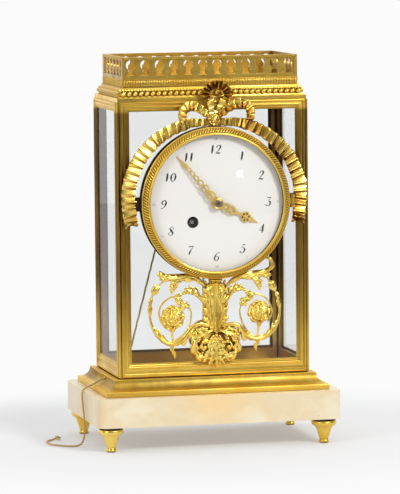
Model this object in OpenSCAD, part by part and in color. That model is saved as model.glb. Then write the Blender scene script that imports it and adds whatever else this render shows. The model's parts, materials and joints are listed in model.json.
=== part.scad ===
// Cage clock: a glazed gilt case on a marble plinth, with a pendulum movement and a pull repeat.
// Millimetres. +X is to the right, -Y is the front and +Z is up. The origin lies under the middle
// of the case, on the surface that the clock stands on.

/* [Case] */
// How far the glazed cage stands out past the bezel, each side
cage_side = 21.05; // [20:0.05:25]
// How much shallower than wide every layer of the case is
slim = 79; // [76:0.5:80]
// Height of the cage from the top of the bezel to the roof plate
crown_h = 23; // [21:0.1:28]
// Height between the opening's lower edge and the bezel, which the ornament fills
under_h = 76.7; // [74:0.1:82]
// Side of the square notch in each vertical corner of the cage
notch = 3.65; // [3.4:0.05:4]
// Thickness of a window frame, front to back
frame_t = 5.5; // [5.3:0.1:6.5]
// Width of the upright stiles of a window frame
stile_w = 9.2; // [8.4:0.1:10]
// Height of the bottom rail of a window frame
rail_low_h = 12.9; // [11:0.1:13.5]
// Height of the top rail of a window frame
rail_top_h = 8.5; // [7.5:0.1:10]
// Thickness of a window pane
pane_t = 2.5; // [2:0.1:3]
// How far a pane reaches behind its frame
pane_lap = 2; // [1.5:0.1:2.5]
// Radius of the hole in the front pane that the movement passes through
pane_hole_r = 50; // [48:0.5:52]

/* [Base] */
// Height of a foot
foot_h = 23.5; // [20:0.5:28]
// Radius of the ring at the top of a foot
foot_r = 11.75; // [11:0.05:13]
// Distance from the plinth's side to the middle of a foot
foot_inset = 14.1; // [13.5:0.1:15]
// Height of the marble plinth
plinth_h = 26.8; // [22:0.1:32]
// How far the plinth stands out past the cage
plinth_over = 23.95; // [23:0.05:26]
// Radius of the plinth's upright corners
plinth_r = 9.5; // [6:0.5:12]
// Height of the gilt base moulding, with the edge of the floor plate on it
base_h = 16.1; // [15:0.1:18]
// Height of the straight fillet under the base moulding's hollow
base_fillet_h = 5; // [4.5:0.1:5.5]
// How far the base moulding stands out past the cage at its foot
base_over = 14.45; // [14:0.05:15]
// How far the base moulding stands out past the cage at its top
base_top_over = 4.45; // [4:0.05:5]
// Thickness of the cage's floor plate
floor_t = 3; // [2.5:0.1:3.5]
// How far the floor plate shows above the base moulding
floor_lip = 1.1; // [0.8:0.1:1.5]
// How far the floor plate stays inside the cage's outer face
floor_under = 2.95; // [2.5:0.05:3.3]
// Thickness of the black washer over a foot
washer_t = 1.6; // [1:0.1:2.2]
// Radius of the bolts that hold the feet
foot_bolt_r = 2.4; // [2:0.1:2.6]

/* [Top] */
// Thickness of the roof plate
roof_t = 4; // [3.5:0.1:5]
// How far the roof plate stays inside the cage's outer face
roof_under = 1.75; // [1.5:0.05:2.5]
// Height of the cornice
cornice_h = 9.5; // [9:0.1:11]
// How far the cornice stays inside the cage's outer face
cornice_under = 3.35; // [3:0.05:4]
// Radius of a pearl in the cornice
pearl_r = 2.35; // [2:0.05:2.5]
// Distance between pearls
pearl_pitch = 5.5; // [5.2:0.05:6]
// Height of the milled band
band_h = 7; // [6.5:0.1:8]
// How far the milled band stays inside the cage's outer face
band_under = 7.85; // [7.5:0.05:8.5]
// Thickness of the roof tray and of the wall round it
tray_t = 3; // [2.5:0.1:4]
// Height of the pierced gallery
gallery_h = 20.5; // [19:0.1:24]
// How far the gallery stays inside the cage's outer face
gallery_under = 9.25; // [9:0.05:10]
// Thickness of the gallery's pierced strip
gallery_t = 1.8; // [1.5:0.1:2]
// Radius of the round head of a piercing
pierce_r = 4.3; // [3.8:0.1:4.6]
// Number of piercings across the front and the back
pierce_count = 12; // [10:1:12]
// Number of piercings along each side
side_pierce_count = 6; // [4:1:6]

/* [Dial] */
// Diameter of the dial that the bezel leaves open
dial_open_d = 125.5; // [118:0.1:126]
// Width of the bezel's ring
bezel_w = 7.25; // [7:0.05:7.6]
// How far the bezel stands out in front of the dial plate
bezel_depth = 13.2; // [13:0.1:13.5]
// Bulge of the enamel dial
dial_bulge = 5.5; // [4.5:0.1:5.6]
// Thickness of the enamel dial
dial_t = 1.6; // [1.2:0.1:1.7]
// Bulge of the bezel's glass
glass_bulge = 8; // [7.5:0.1:8.2]
// Thickness of the bezel's glass
glass_t = 1.5; // [1.2:0.1:1.6]
// Thickness of the plate behind the dial
dial_plate_t = 3; // [2.8:0.1:3.2]
// Height of the lugs that hold the dial plate to the stiles
lug_h = 13; // [12:0.5:14]
// Length of the minute hand from the dial's middle
minute_len = 57; // [50:0.5:58]
// Length of the hour hand from the dial's middle
hour_len = 44; // [42:0.5:47]
// Radius of the winding hole in the dial
wind_hole_r = 5.25; // [4.5:0.05:5.5]
// Radius of the bezel's hinge pin
bezel_pin_r = 1; // [0.8:0.1:1.2]

/* [Ornament] */
// Width of the pleated ribbon
ribbon_w = 11.5; // [10:0.5:12]
// Thickness of the ribbon under its pleats
ribbon_t = 1.6; // [1.4:0.1:1.8]
// Height of the ribbon's pleats
pleat_h = 1.8; // [1.4:0.1:2]
// Depth of the scrolls, front to back
scroll_t = 4; // [3.5:0.1:4.5]
// Radius of the flower in each scroll
flower_r = 10.6; // [9.5:0.1:11]

/* [Movement] */
// Radius of the two movement plates
plate_r = 56; // [55.5:0.1:58]
// Thickness of each movement plate
plate_t = 2.2; // [2:0.1:2.4]
// Distance between the movement plates
plate_gap = 26.3; // [26:0.1:27]
// Radius of a movement pillar
pillar_r = 3; // [2.5:0.1:3.4]
// Tooth module of the barrel and the centre pinion
barrel_module = 0.5875; // [0.58:0.0025:0.6]
// Radius of the mainspring barrel
barrel_r = 20; // [18:0.5:21]
// Side of the winding square
wind_square = 3.6; // [3.2:0.1:3.8]
// Height of the pendulum's pivot above the dial's middle
pivot_up = 44.2; // [43:0.1:45]
// Radius of the pendulum's bob
bob_r = 15; // [12:0.5:15.5]
// Thickness of the pendulum's bob
bob_t = 8; // [6:0.5:9]
// Radius of the pendulum's rod
rod_r = 1.2; // [1:0.1:1.3]
// Radius of the bell
bell_r = 34; // [32:0.5:35]
// Thickness of the bell's wall
bell_t = 1.8; // [1.5:0.1:2.2]
// Radius of the repeat pulley's groove
pulley_r = 9; // [8.5:0.1:9.4]
// Diameter of the repeat cord
cord_d = 2; // [1.8:0.1:2.2]

/* [Fits] */
// Running clearance round an arbor or a pin
run_fit = 0.05; // [0.02:0.01:0.08]
// Gap round a piece that lies in a recess
seat_fit = 0.15; // [0.1:0.05:0.2]
// Gap between pieces that move past each other
move_gap = 0.3; // [0.25:0.05:0.4]

/* [Hidden] */
$fn = 48;

// Sizes that follow the dial's bezel
bezel_d = dial_open_d + 2 * bezel_w;
cage_w = bezel_d + 2 * cage_side;
dial_up = rail_low_h + under_h + bezel_d / 2;
cage_h = dial_up + bezel_d / 2 + crown_h;

// Heights of the case's layers
z_base = foot_h + plinth_h;
z_cage = z_base + base_h;
z_roof = z_cage + cage_h;
z_cornice = z_roof + roof_t;
z_band = z_cornice + cornice_h;
z_gallery = z_band + band_h;
z_top = z_gallery + gallery_h;
z_dial = z_cage + dial_up;
z_open = z_cage + rail_low_h;
z_open_top = z_roof - rail_top_h;

// Half widths and depths of the case's layers
cage_x = cage_w / 2;
cage_y = (cage_w - slim) / 2;
skew = slim / 2;
plinth_x = cage_x + plinth_over;
foot_x = plinth_x - foot_inset;
floor_x = cage_x - floor_under;
roof_x = cage_x - roof_under;
cornice_x = cage_x - cornice_under;
band_x = cage_x - band_under;
gallery_x = cage_x - gallery_under;
open_x = cage_x - notch - stile_w;
open_y = cage_y - notch - stile_w;

// Corner of the cage: lips of the frames, and the post with its bead in the notch
lip_t = 2.4;
post_gap = 0.15;
bead_r = 1.4;
post_in = frame_t - 0.05;

// Depths in front of and behind the cage's front face
y_face = -cage_y;
y_dial = y_face - dial_plate_t;
y_pane = y_face + 2.25;
y_fplate = y_face + 5;
y_gap = y_fplate + plate_t;
y_bplate = y_gap + plate_gap;
y_back = y_bplate + plate_t;
y_rod = y_back + 7.8;

// Bezel hinge, to the right of the bezel
hinge_x = bezel_d / 2 + 3;
hinge_y = y_dial - 4;
knuckle_r = bezel_pin_r + 1.2;
knuckle_h = lug_h / 2 - move_gap;

// Ornament planes: the ribbon stands on the dial plate's lugs, the scrolls in front of the pane
y_ribbon = y_dial;
tongue_t = 1.6;
y_scroll = y_face - 0.6;

// Train: arbor places from the dial's middle, tooth counts and modules
great_teeth = 84;
centre_pinion = 12;
wind_at = [-22.5, -17] * barrel_module / 0.5875;
centre_teeth = 84;
third_pinion = 7;
centre_module = 0.42;
third_teeth = 70;
escape_pinion = 7;
third_module = 0.4;
escape_teeth = 36;
escape_r = 11;
third_dist = (centre_teeth + third_pinion) / 2 * centre_module;
escape_dist = (third_teeth + escape_pinion) / 2 * third_module;
third_at = third_dist * [cos(60), sin(60)];
escape_at = [0, third_at[1] + sqrt(escape_dist * escape_dist - third_at[0] * third_at[0])];
// Two beats a tooth of the escape wheel, and a pendulum as long as that many beats an hour need
beats_an_hour = 2 * escape_teeth * centre_teeth / third_pinion * third_teeth / escape_pinion;
gravity = 9809;
pendulum_len = gravity * pow(3600 / beats_an_hour / PI, 2);
cannon_teeth = 12;
minute_teeth = 36;
minute_pinion = 10;
hour_teeth = 40;
motion_dist = 14.4;
cannon_module = 2 * motion_dist / (cannon_teeth + minute_teeth);
hour_module = 2 * motion_dist / (minute_pinion + hour_teeth);
minute_at = motion_dist * [cos(-35), sin(-35)];
ratchet_teeth = 30;
ratchet_r = 9;
click_at = wind_at + [-2.5, 14.5];
bell_at = [16, 0];
hammer_at = [14.5, -45.3];
hammer_head = [35.6, -34];
pulley_at = [-32.7, -33.3];
pillar_angles = [40, 150, 262, 325];
dial_foot_angles = [20, 110, 200, 290];

// Arbor radii
arbor_r = 1;
centre_arbor_r = 1.3;
cannon_r = 2.1;
hour_pipe_r = 3.3;
stud_r = 1.1;

// Hand angles at rest, clockwise from twelve: seven minutes to four
minute_turn = -40;
hour_turn = 116.5;

// Cord: the way inside the case, from the pulley through the floor to the side of the base
cord_exit = [-cage_x - 5.95, -13.2, z_cage - 4.7];
cord_hole = [-cage_x + 13.05, -13.2];
inner_route = [[-27.5, -13.2, 201.8], [-33.6, -13.2, 203], [-39.4, -13.2, 200.6],
    [-42.6, -13.2, 195.3], [-76.2, -13.2, 70], [-78, -13.2, 64.6], [-80.6, -13.2, 62.2],
    [-84, -13.2, 61.7], [-90, -13.2, 61.7], [-95.2, -13.2, 61.7]];
// Cord: the free stretch, over the plinth's edge and along the table
free_route = [[-95.2, -13.2, 61.7], [-98, -13.1, 61.5], [-101.5, -12.4, 59.8],
    [-106.4, -11.2, 56.7], [-111.6, -9.8, 54.2], [-115.9, -9.4, 51.1], [-117, -10.2, 46.2],
    [-117, -12.5, 38.4], [-117, -16.6, 29.6], [-117.1, -20.4, 22], [-117.6, -22.6, 14],
    [-118.8, -23.2, 7.2], [-121.6, -23.4, 2.7], [-126, -22.8, 1.2], [-131, -21.6, 1.1],
    [-136.5, -17.5, 1.1], [-142.5, -11, 1.1], [-146.6, -2, 1.1], [-147.2, 8, 1.1],
    [-144.4, 17, 1.1], [-139.6, 22.4, 1.1], [-135.6, 24.4, 2]];
knot_at = [-134, 25.2, 2.6];
knot_r = 2.5;

// Ornament routes, right half, as [x, z] from the middle of a dial with a bezel of drawn_r.
// The ribbon keeps its distance from the bezel, and what hangs under it fills under_h.
drawn_r = 70;
under_start = 0.6;
stretch = under_h / 76.7;
function unit(v) = v / norm(v);
function beside(q) = q + (bezel_d / 2 - drawn_r) * unit(q);
function under(q) = [q[0],
    (q[1] + drawn_r + under_start) * stretch - bezel_d / 2 - under_start];
function under_route(points) = [for (q = points) under(q)];
module under_shape(points) {
    polygon(under_route(points));
}
ribbon_route = [for (q = [[30, 72.6], [40, 68.6], [52, 61.2], [63, 51.3], [71.5, 39.6],
    [77.5, 27], [80.7, 14], [81, 1], [79.8, -12], [78.4, -20]]) beside(q)];
scroll_route = [[8, -114.5], [16, -112.8], [22, -114.4], [25.5, -119.5], [30.5, -125.4],
    [37.5, -128.6], [45, -128.4], [52, -124.2], [57.4, -117.4], [60.4, -109], [61.2, -100],
    [60.4, -91], [58.2, -83.4], [54.6, -77], [49.2, -70.4], [47.4, -68.6]];
ring_left_route = [[12.4, -92], [15, -85], [19.5, -80.8], [25.5, -80], [31, -83.6],
    [36, -86.1], [42.5, -86.7], [48.6, -90.4], [52.4, -96.8], [53, -104.4], [50.2, -111.4],
    [45.2, -115.8], [41.4, -117.4]];
ring_right_route = [[37, -127.8], [31.4, -122.6], [26.2, -115], [23.6, -107], [23.4, -99.4],
    [26, -93.6], [31, -89.8]];
leaf_route = [[9.4, -77.4], [13.6, -72.6], [20, -68.8], [28, -66.6], [37, -65.8],
    [45, -64.8], [51.4, -61.6]];
flower_at = under([41, -103.8]);

function polar(r, a) = [r * cos(a), r * sin(a)];
// A point of a smooth curve through p, at u from 0 to len(p) - 1
function knot_pt(p, i) = p[max(0, min(len(p) - 1, i))];
function curve_pt(p, u) =
    let (i = min(floor(u), len(p) - 2), t = u - i,
         a = knot_pt(p, i - 1), b = p[i], c = p[i + 1], d = knot_pt(p, i + 2))
    0.5 * (2 * b + (c - a) * t + (2 * a - 5 * b + 4 * c - d) * t * t
        + (3 * b - a - 3 * c + d) * t * t * t);
function curve(p, n) = [for (k = [0:n]) curve_pt(p, k * (len(p) - 1) / n)];
function tangent(q, i) = unit(q[min(i + 1, len(q) - 1)] - q[max(i - 1, 0)]);
// Outline of a strip along q whose half width goes from h0 to h1
function strip(q, h0, h1) =
    let (n = len(q) - 1,
         side = function (s) [for (i = [0:n]) let (t = tangent(q, i), h = h0 + (h1 - h0) * i / n)
             q[i] + s * h * [-t[1], t[0]]])
    concat(side(1), [for (i = [n:-1:0]) side(-1)[i]]);

module under_strip(route, n, h0, h1) {
    polygon(strip(curve(under_route(route), n), h0 * stretch, h1 * stretch));
}

// A circle's rim as a pinion or wheel with straight-flanked teeth
function gear_outline(teeth, m, lead, tip = 0.85, root = 1.2) =
    let (rp = teeth * m / 2, step = 360 / teeth)
    [for (k = [0:teeth - 1]) for (q = [[-0.25, rp - root * m], [-0.09, rp + tip * m],
        [0.09, rp + tip * m], [0.25, rp - root * m]]) polar(q[1], lead + (k + q[0]) * step)];
function ratchet_outline(teeth, r, depth) =
    [for (k = [0:teeth - 1]) for (q = [[0, r], [0.08, r - depth]])
        polar(q[1], (k + q[0]) * 360 / teeth)];

// Faces of a tube with n rings of s points, closed at both ends
function tube_faces(n, s) = concat(
    [for (i = [0:n - 2]) for (j = [0:s - 1]) let (a = i * s + j, b = i * s + (j + 1) % s)
        [a, a + s, b]],
    [for (i = [0:n - 2]) for (j = [0:s - 1]) let (a = i * s + j, b = i * s + (j + 1) % s)
        [b, a + s, b + s]],
    [for (j = [1:s - 2]) [0, j, j + 1]],
    [for (j = [1:s - 2]) [(n - 1) * s, (n - 1) * s + j + 1, (n - 1) * s + j]]);

// Round cord of radius r along the points q, each ring square to the run
module cord_tube(q, r, sides = 8) {
    n = len(q);
    first = unit(cross(tangent(q, 0), [0.1, 1, 0.2]));
    frames = [for (i = 0, u = first; i < n;
        i = i + 1, u = i < n ? unit(u - (u * tangent(q, i)) * tangent(q, i)) : u) u];
    pts = [for (i = [0:n - 1]) for (j = [0:sides - 1])
        let (u = frames[i], v = cross(tangent(q, i), u), a = 360 * j / sides)
        q[i] + r * (cos(a) * u + sin(a) * v)];
    polyhedron(pts, tube_faces(n, sides));
}

// Pleated band of width w along the [x, z] route, standing forward from the plane y
module pleated_band(route, n, w0, w1, y, base, pleat) {
    q = curve(route, n);
    pts = [for (i = [0:n]) let (t = tangent(q, i), nrm = [-t[1], t[0]],
        h = (w0 + (w1 - w0) * i / n) / 2, f = y - base - (i % 2) * pleat)
        each [[q[i][0] - h * nrm[0], y, q[i][1] - h * nrm[1]],
              [q[i][0] + h * nrm[0], y, q[i][1] + h * nrm[1]],
              [q[i][0] + h * nrm[0], f, q[i][1] + h * nrm[1]],
              [q[i][0] - h * nrm[0], f, q[i][1] - h * nrm[1]]]];
    polyhedron(pts, tube_faces(n + 1, 4));
}

// Shapes that stand along Y: a 2D outline in X and Z from y0 to y1
module along_y(y0, y1) {
    translate([0, y1, 0]) rotate([90, 0, 0]) linear_extrude(y1 - y0) children();
}
module rod_y(at, r, y0, y1) {
    translate([at[0], y1, at[1]]) rotate([90, 0, 0]) cylinder(r = r, h = y1 - y0);
}
// Turned shape about Y: points are [radius, distance forward of y]
module turned_y(at, y, pts) {
    translate([at[0], y, at[1]]) rotate([90, 0, 0]) rotate_extrude() polygon(pts);
}
module block(x, y, z0, z1) {
    translate([-x, -y, z0]) cube([2 * x, 2 * y, z1 - z0]);
}
module wall(x, z0, z1, y0, y1) {
    translate([-x, y0, z0]) cube([2 * x, y1 - y0, z1 - z0]);
}
module at_corners(x, y) {
    for (sx = [-1, 1]) for (sy = [-1, 1]) translate([sx * x, sy * y, 0]) children();
}
module on_dial() {
    translate([0, 0, z_dial]) children();
}

// Mitred moulding with flat ends: profile points are [out past x, height]
function both_sides(p, h) = concat([for (q = p) [h + q[0], q[1]]],
    [for (i = [len(p) - 1:-1:0]) [-(h + p[i][0]), p[i][1]]]);
module moulded(x, profile) {
    intersection() {
        rotate([90, 0, 0]) linear_extrude(4 * x, center = true) polygon(both_sides(profile, x));
        rotate([90, 0, 90]) linear_extrude(4 * x, center = true)
            polygon(both_sides(profile, x - skew));
    }
}

module marble_plinth() {
    px = plinth_x - plinth_r;
    py = plinth_x - skew - plinth_r;
    color("antiquewhite") difference() {
        translate([0, 0, foot_h]) linear_extrude(plinth_h) union() {
            square([2 * plinth_x, 2 * py], center = true);
            square([2 * px, 2 * (py + plinth_r)], center = true);
            for (sx = [-1, 1]) for (sy = [-1, 1]) translate([sx * px, sy * py]) circle(plinth_r);
        }
        at_corners(foot_x, foot_x - skew) translate([0, 0, foot_h - 1])
            cylinder(r = foot_bolt_r + seat_fit, h = plinth_h + 2);
    }
}

module feet() {
    h = foot_h;
    color("gold") at_corners(foot_x, foot_x - skew) difference() {
        rotate_extrude() polygon([[0, 0], [3.6, 0], [4.75, 1.2], [4.75, 2.6], [4, 3.6],
            [4.4, 4.2], [7.25, h - 9.5], [7.6, h - 8.6], [9.4, h - 7.6], [foot_r - 0.8, h - 6.8],
            [foot_r, h - 5], [foot_r, h - 3.4], [foot_r - 0.9, h - 2],
            [foot_r - 1.6, h - washer_t], [0, h - washer_t]]);
        translate([0, 0, h - 11]) cylinder(r = foot_bolt_r + run_fit, h = 12);
    }
}

module foot_washers() {
    color("black") at_corners(foot_x, foot_x - skew) difference() {
        translate([0, 0, foot_h - washer_t]) cylinder(r = foot_r - 0.75, h = washer_t);
        translate([0, 0, foot_h - 3]) cylinder(r = foot_bolt_r + seat_fit, h = 4);
    }
}

module foot_bolts() {
    color("darkgoldenrod") at_corners(foot_x, foot_x - skew) {
        translate([0, 0, foot_h - 10.5]) cylinder(r = foot_bolt_r, h = plinth_h + 13);
        translate([0, 0, z_base]) cylinder(r = foot_bolt_r + 1.1, h = 2.4);
    }
}

base_profile = concat([[base_over, z_base], [base_over, z_base + base_fillet_h]],
    [for (t = [90:-11.25:0]) [base_top_over + (base_over - base_top_over - 0.5) * (1 - cos(t)),
        z_cage - floor_lip - 0.8
            - (base_h - base_fillet_h - floor_lip - 0.8) * sin(t)]],
    [[base_top_over, z_cage - floor_lip]]);

module base_moulding() {
    color("goldenrod") difference() {
        moulded(cage_x, base_profile);
        block(cage_x - 10, cage_y - 10, z_base - 1, z_cage + 1);
        block(floor_x + seat_fit, floor_x - skew + seat_fit, z_cage - floor_t, z_cage + 1);
        at_corners(foot_x, foot_x - skew) translate([0, 0, z_base - 1])
            cylinder(r = foot_bolt_r + 1.4, h = 4.2);
        cord_bush_way(2.2 + seat_fit);
    }
}

// The cord's way out through the left side of the base
module cord_bush_way(r) {
    translate([cord_exit[0] - 2, cord_exit[1], cord_exit[2]]) rotate([0, 90, 0])
        cylinder(r = r, h = 24);
}

module cord_bush() {
    start = cord_exit[0] + 0.6;
    color("gold") difference() {
        translate([start, cord_exit[1], cord_exit[2]]) rotate([0, 90, 0])
            cylinder(r = 2.2, h = 8);
        translate([start - 1, cord_exit[1], cord_exit[2]]) rotate([0, 90, 0])
            cylinder(r = cord_d / 2 + 0.35, h = 12);
    }
}

module cage_floor() {
    color("olive") difference() {
        block(floor_x, floor_x - skew, z_cage - floor_t, z_cage);
        translate([cord_hole[0], cord_hole[1], z_cage - floor_t - 1])
            cylinder(r = cord_d / 2 + 1.8, h = floor_t + 2);
    }
}

module corner_posts() {
    far = cage_x - lip_t - post_gap;
    near = cage_x - post_in;
    color("darkgoldenrod") for (sx = [-1, 1]) for (sy = [-1, 1]) difference() {
        union() {
            translate([sx * (far + near) / 2, sy * (far + near - slim) / 2, z_cage + cage_h / 2])
                cube([far - near, far - near, cage_h], center = true);
            translate([sx * (cage_x - 2.1), sy * (cage_y - 2.1), z_cage])
                cylinder(r = bead_r, h = cage_h);
            if (sx == 1 && sy == 1) for (z = door_hinge_z) for (e = [-1, 1])
                door_knuckle(z + e * (door_knuckle_h + move_gap), true);
        }
        if (sx == 1 && sy == 1) for (z = door_hinge_z) translate([door_x, door_y, z])
            cylinder(r = door_pin_r + run_fit, h = 4 * door_knuckle_h, center = true);
    }
}

// Rear door hinge, outside the right rear corner
door_x = cage_x - 1.6;
door_y = cage_y + 2;
door_pin_r = 0.8;
door_knuckle_r = 1.9;
door_knuckle_h = 5;
door_hinge_z = [z_cage + 40, z_roof - 40];
module door_knuckle(z, on_post) {
    translate([door_x, door_y, z - door_knuckle_h / 2])
        cylinder(r = door_knuckle_r, h = door_knuckle_h);
    if (on_post) translate([door_x - 1.1, cage_y - 3, z - door_knuckle_h / 2])
        cube([2.2, 5, door_knuckle_h]);
    else translate([door_x - 9, cage_y - 0.4, z - door_knuckle_h / 2])
        cube([9, 1.2, door_knuckle_h]);
}

// A window frame seen from outside: half width x, opening half width ox, its face at y = 0
module window_frame(x, ox, gap = 0) {
    z0 = z_cage + gap;
    z1 = z_roof - gap;
    difference() {
        union() {
            wall(x, z0, z1, 1, lip_t);
            wall(x - (frame_t - lip_t - 0.1), z0, z1, 1, frame_t);
            difference() {
                wall(x, z0, z1, 0, 1.1);
                wall(x - 2.2, z0 + 3.2, z1 - 2.2, -1, 3);
            }
            difference() {
                wall(ox + 5.2, z_open - 5.2, z_open_top + 4.8, 0.3, 1.1);
                wall(ox + 3, z_open - 3, z_open_top + 3, -1, 3);
            }
        }
        wall(ox, z_open, z_open_top, -1, frame_t + 1);
        wall(ox + 1.4, z_open - 1.4, z_open_top + 1.4, -1, 2.2);
        wall(ox + pane_lap + seat_fit, z_open - pane_lap - seat_fit,
            z_open_top + pane_lap + seat_fit, y_pane - y_face, frame_t + 1);
    }
}
module pane(ox) {
    wall(ox + pane_lap, z_open - pane_lap, z_open_top + pane_lap, y_pane - y_face,
        y_pane - y_face + pane_t);
}
module front_side() {
    translate([0, -cage_y, 0]) children();
}
module left_side() {
    rotate([0, 0, -90]) translate([0, -cage_x, 0]) children();
}
module right_side() {
    rotate([0, 0, 90]) translate([0, -cage_x, 0]) children();
}
module rear_side() {
    rotate([0, 0, 180]) translate([0, -cage_y, 0]) children();
}

module front_frame() {
    color("goldenrod") front_side() window_frame(cage_x - notch, open_x);
}
module left_frame() {
    color("goldenrod") left_side() window_frame(cage_y - notch, open_y);
}
module right_frame() {
    color("goldenrod") right_side() window_frame(cage_y - notch, open_y);
}
module front_glass() {
    color("lightsteelblue", 0.4) difference() {
        front_side() pane(open_x);
        rod_y([0, z_dial], pane_hole_r, -cage_y, 0);
    }
}
module left_glass() {
    color("lightsteelblue", 0.4) left_side() pane(open_y);
}
module right_glass() {
    color("lightsteelblue", 0.4) right_side() pane(open_y);
}

module rear_door_frame() {
    knob_x = cage_x - notch - stile_w / 2;
    color("goldenrod") difference() {
        union() {
            rear_side() window_frame(cage_x - notch, open_x, move_gap);
            for (z = door_hinge_z) door_knuckle(z, false);
            turned_y([-knob_x, z_dial], cage_y - 0.5, [[0, 0], [1.5, 0], [1.5, -2.5],
                [3.4, -4], [3.4, -6], [2.2, -7], [0, -7]]);
        }
        for (z = door_hinge_z) translate([door_x, door_y, z])
            cylinder(r = door_pin_r + run_fit, h = 2 * door_knuckle_h, center = true);
    }
}
module rear_door_glass() {
    color("lightsteelblue", 0.4) rear_side() pane(open_x);
}
module rear_door_pins() {
    color("gray") for (z = door_hinge_z) translate([door_x, door_y, z])
        cylinder(r = door_pin_r, h = 3 * door_knuckle_h + 2 * move_gap, center = true);
}

module roof_plate() {
    color("goldenrod") block(roof_x, roof_x - skew, z_roof, z_cornice);
}

module cornice() {
    r = pearl_r;
    c = z_cornice + 3.5;
    top = z_band;
    n = floor((cornice_x - 3) / pearl_pitch);
    color("goldenrod") union() {
        difference() {
            moulded(cornice_x, concat([[-2.6, z_cornice], [-1.6, z_cornice]],
                [for (a = [-70:20:70]) [-r + r * cos(a), c + r * sin(a)]],
                [[-1.7, top - 3.2], [-1.7, top - 2.6], [-3.4, top - 1.6], [-4.1, top - 0.6],
                 [-4.1, top]]));
            block(band_x - tray_t, band_x - skew - tray_t, z_cornice - 1, top + 1);
        }
        for (k = [-n:n]) translate([k * pearl_pitch, -(cornice_x - skew) + r - 0.35, c])
            sphere(r);
    }
}

module milled_band() {
    x = band_x;
    color("goldenrod") difference() {
        moulded(x, [[-0.5, z_band], [-0.5, z_band + 0.6], [0, z_band + 0.6],
            [0, z_gallery - 0.8], [-0.6, z_gallery - 0.8], [-0.6, z_gallery]]);
        block(x - tray_t, x - skew - tray_t, z_band - 1, z_gallery - tray_t);
    }
}

// One piercing: a round head over a neck and a splayed foot
module piercing() {
    head = z_top - 7.1;
    foot = z_gallery + 3.8;
    translate([0, head]) circle(pierce_r);
    polygon([[-pierce_r + 0.2, foot], [pierce_r - 0.2, foot], [1.9, foot + 2.6], [1.9, head],
        [-1.9, head], [-1.9, foot + 2.6]]);
}
// A gallery panel of half length x: rails, end posts and a pierced strip
module gallery_side(x, count, pitch) {
    proud = 0.4;
    depth = gallery_t + 2 * proud;
    difference() {
        union() {
            wall(x, z_gallery, z_top, 0, gallery_t);
            wall(x, z_top - 2.6, z_top, -proud, gallery_t + proud);
            wall(x, z_gallery, z_gallery + 3, -proud, gallery_t + proud);
            for (s = [-1, 1]) translate([s * (x - depth / 2) - depth / 2, -proud, z_gallery])
                cube([depth, depth, gallery_h]);
        }
        along_y(-1, gallery_t + 1) for (k = [0:count - 1])
            translate([(k - (count - 1) / 2) * pitch, 0]) piercing();
    }
}
module gallery_front() {
    color("gold") translate([0, -(gallery_x - skew), 0])
        gallery_side(gallery_x + 0.4, pierce_count, (2 * gallery_x - 1) / pierce_count);
}
module gallery_rear() {
    color("gold") rotate([0, 0, 180]) gallery_front();
}
module gallery_right() {
    color("gold") rotate([0, 0, 90]) translate([0, -gallery_x, 0])
        gallery_side(gallery_x - skew - gallery_t - 0.4, side_pierce_count,
            (2 * (gallery_x - skew) - 3.3) / side_pierce_count);
}
module gallery_left() {
    color("gold") rotate([0, 0, 180]) gallery_right();
}

// Dial: a dark steel plate on two lugs, the enamel, and the hinged bezel with its glass
dial_r = dial_open_d / 2 + 0.4;
glass_r = dial_open_d / 2 + 1.3;
bezel_in_r = dial_open_d / 2 + 2.75;
bezel_wall_r = bezel_d / 2 - 1.4;
dial_edge = 4;

module dial_plate() {
    color("dimgray") difference() {
        union() {
            on_dial() rod_y([0, 0], bezel_wall_r, y_dial, y_face);
            wall(cage_x - 3.2, z_dial - lug_h / 2, z_dial + lug_h / 2, y_dial, y_face);
            turned_y([0, z_dial], y_dial, [[dial_r - 4.5, -0.5], [dial_r - 0.6, -0.5],
                [dial_r - 0.6, dial_edge - dial_t], [dial_r - 4.5, dial_edge - dial_t]]);
            for (e = [-1, 1]) translate([hinge_x, hinge_y, z_dial + e * (knuckle_h + 3) / 2]) {
                cylinder(r = knuckle_r, h = knuckle_h - 3, center = true);
                translate([0, 2, 0])
                    cube([2 * knuckle_r - 0.8, 4.1, knuckle_h - 3], center = true);
            }
        }
        on_dial() rod_y([0, 0], 34, y_dial - 5, y_face + 1);
        translate([hinge_x, hinge_y, z_dial])
            cylinder(r = bezel_pin_r + run_fit, h = lug_h + 4, center = true);
    }
}

// Cap of a sphere: edge radius r, bulge b, thickness t, its edge d forward of the dial plate
function cap_arc(r, b, d) = let (big = (r * r + b * b) / (2 * b), a = asin(r / big))
    [for (k = [0:12]) [big * sin(a * k / 12), d + b - big + big * cos(a * k / 12)]];
function cap(r, b, t, d) = concat(cap_arc(r, b, d),
    [for (k = [12:-1:0]) cap_arc(r, b, d - t)[k]]);

module enamel_dial() {
    color("white") difference() {
        turned_y([0, z_dial], y_dial, cap(dial_r, dial_bulge, dial_t, dial_edge));
        on_dial() rod_y([0, 0], hour_pipe_r + 0.8, y_dial - 15, y_dial + 1);
        on_dial() rod_y(wind_at, wind_hole_r, y_dial - 15, y_dial + 1);
    }
}

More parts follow.
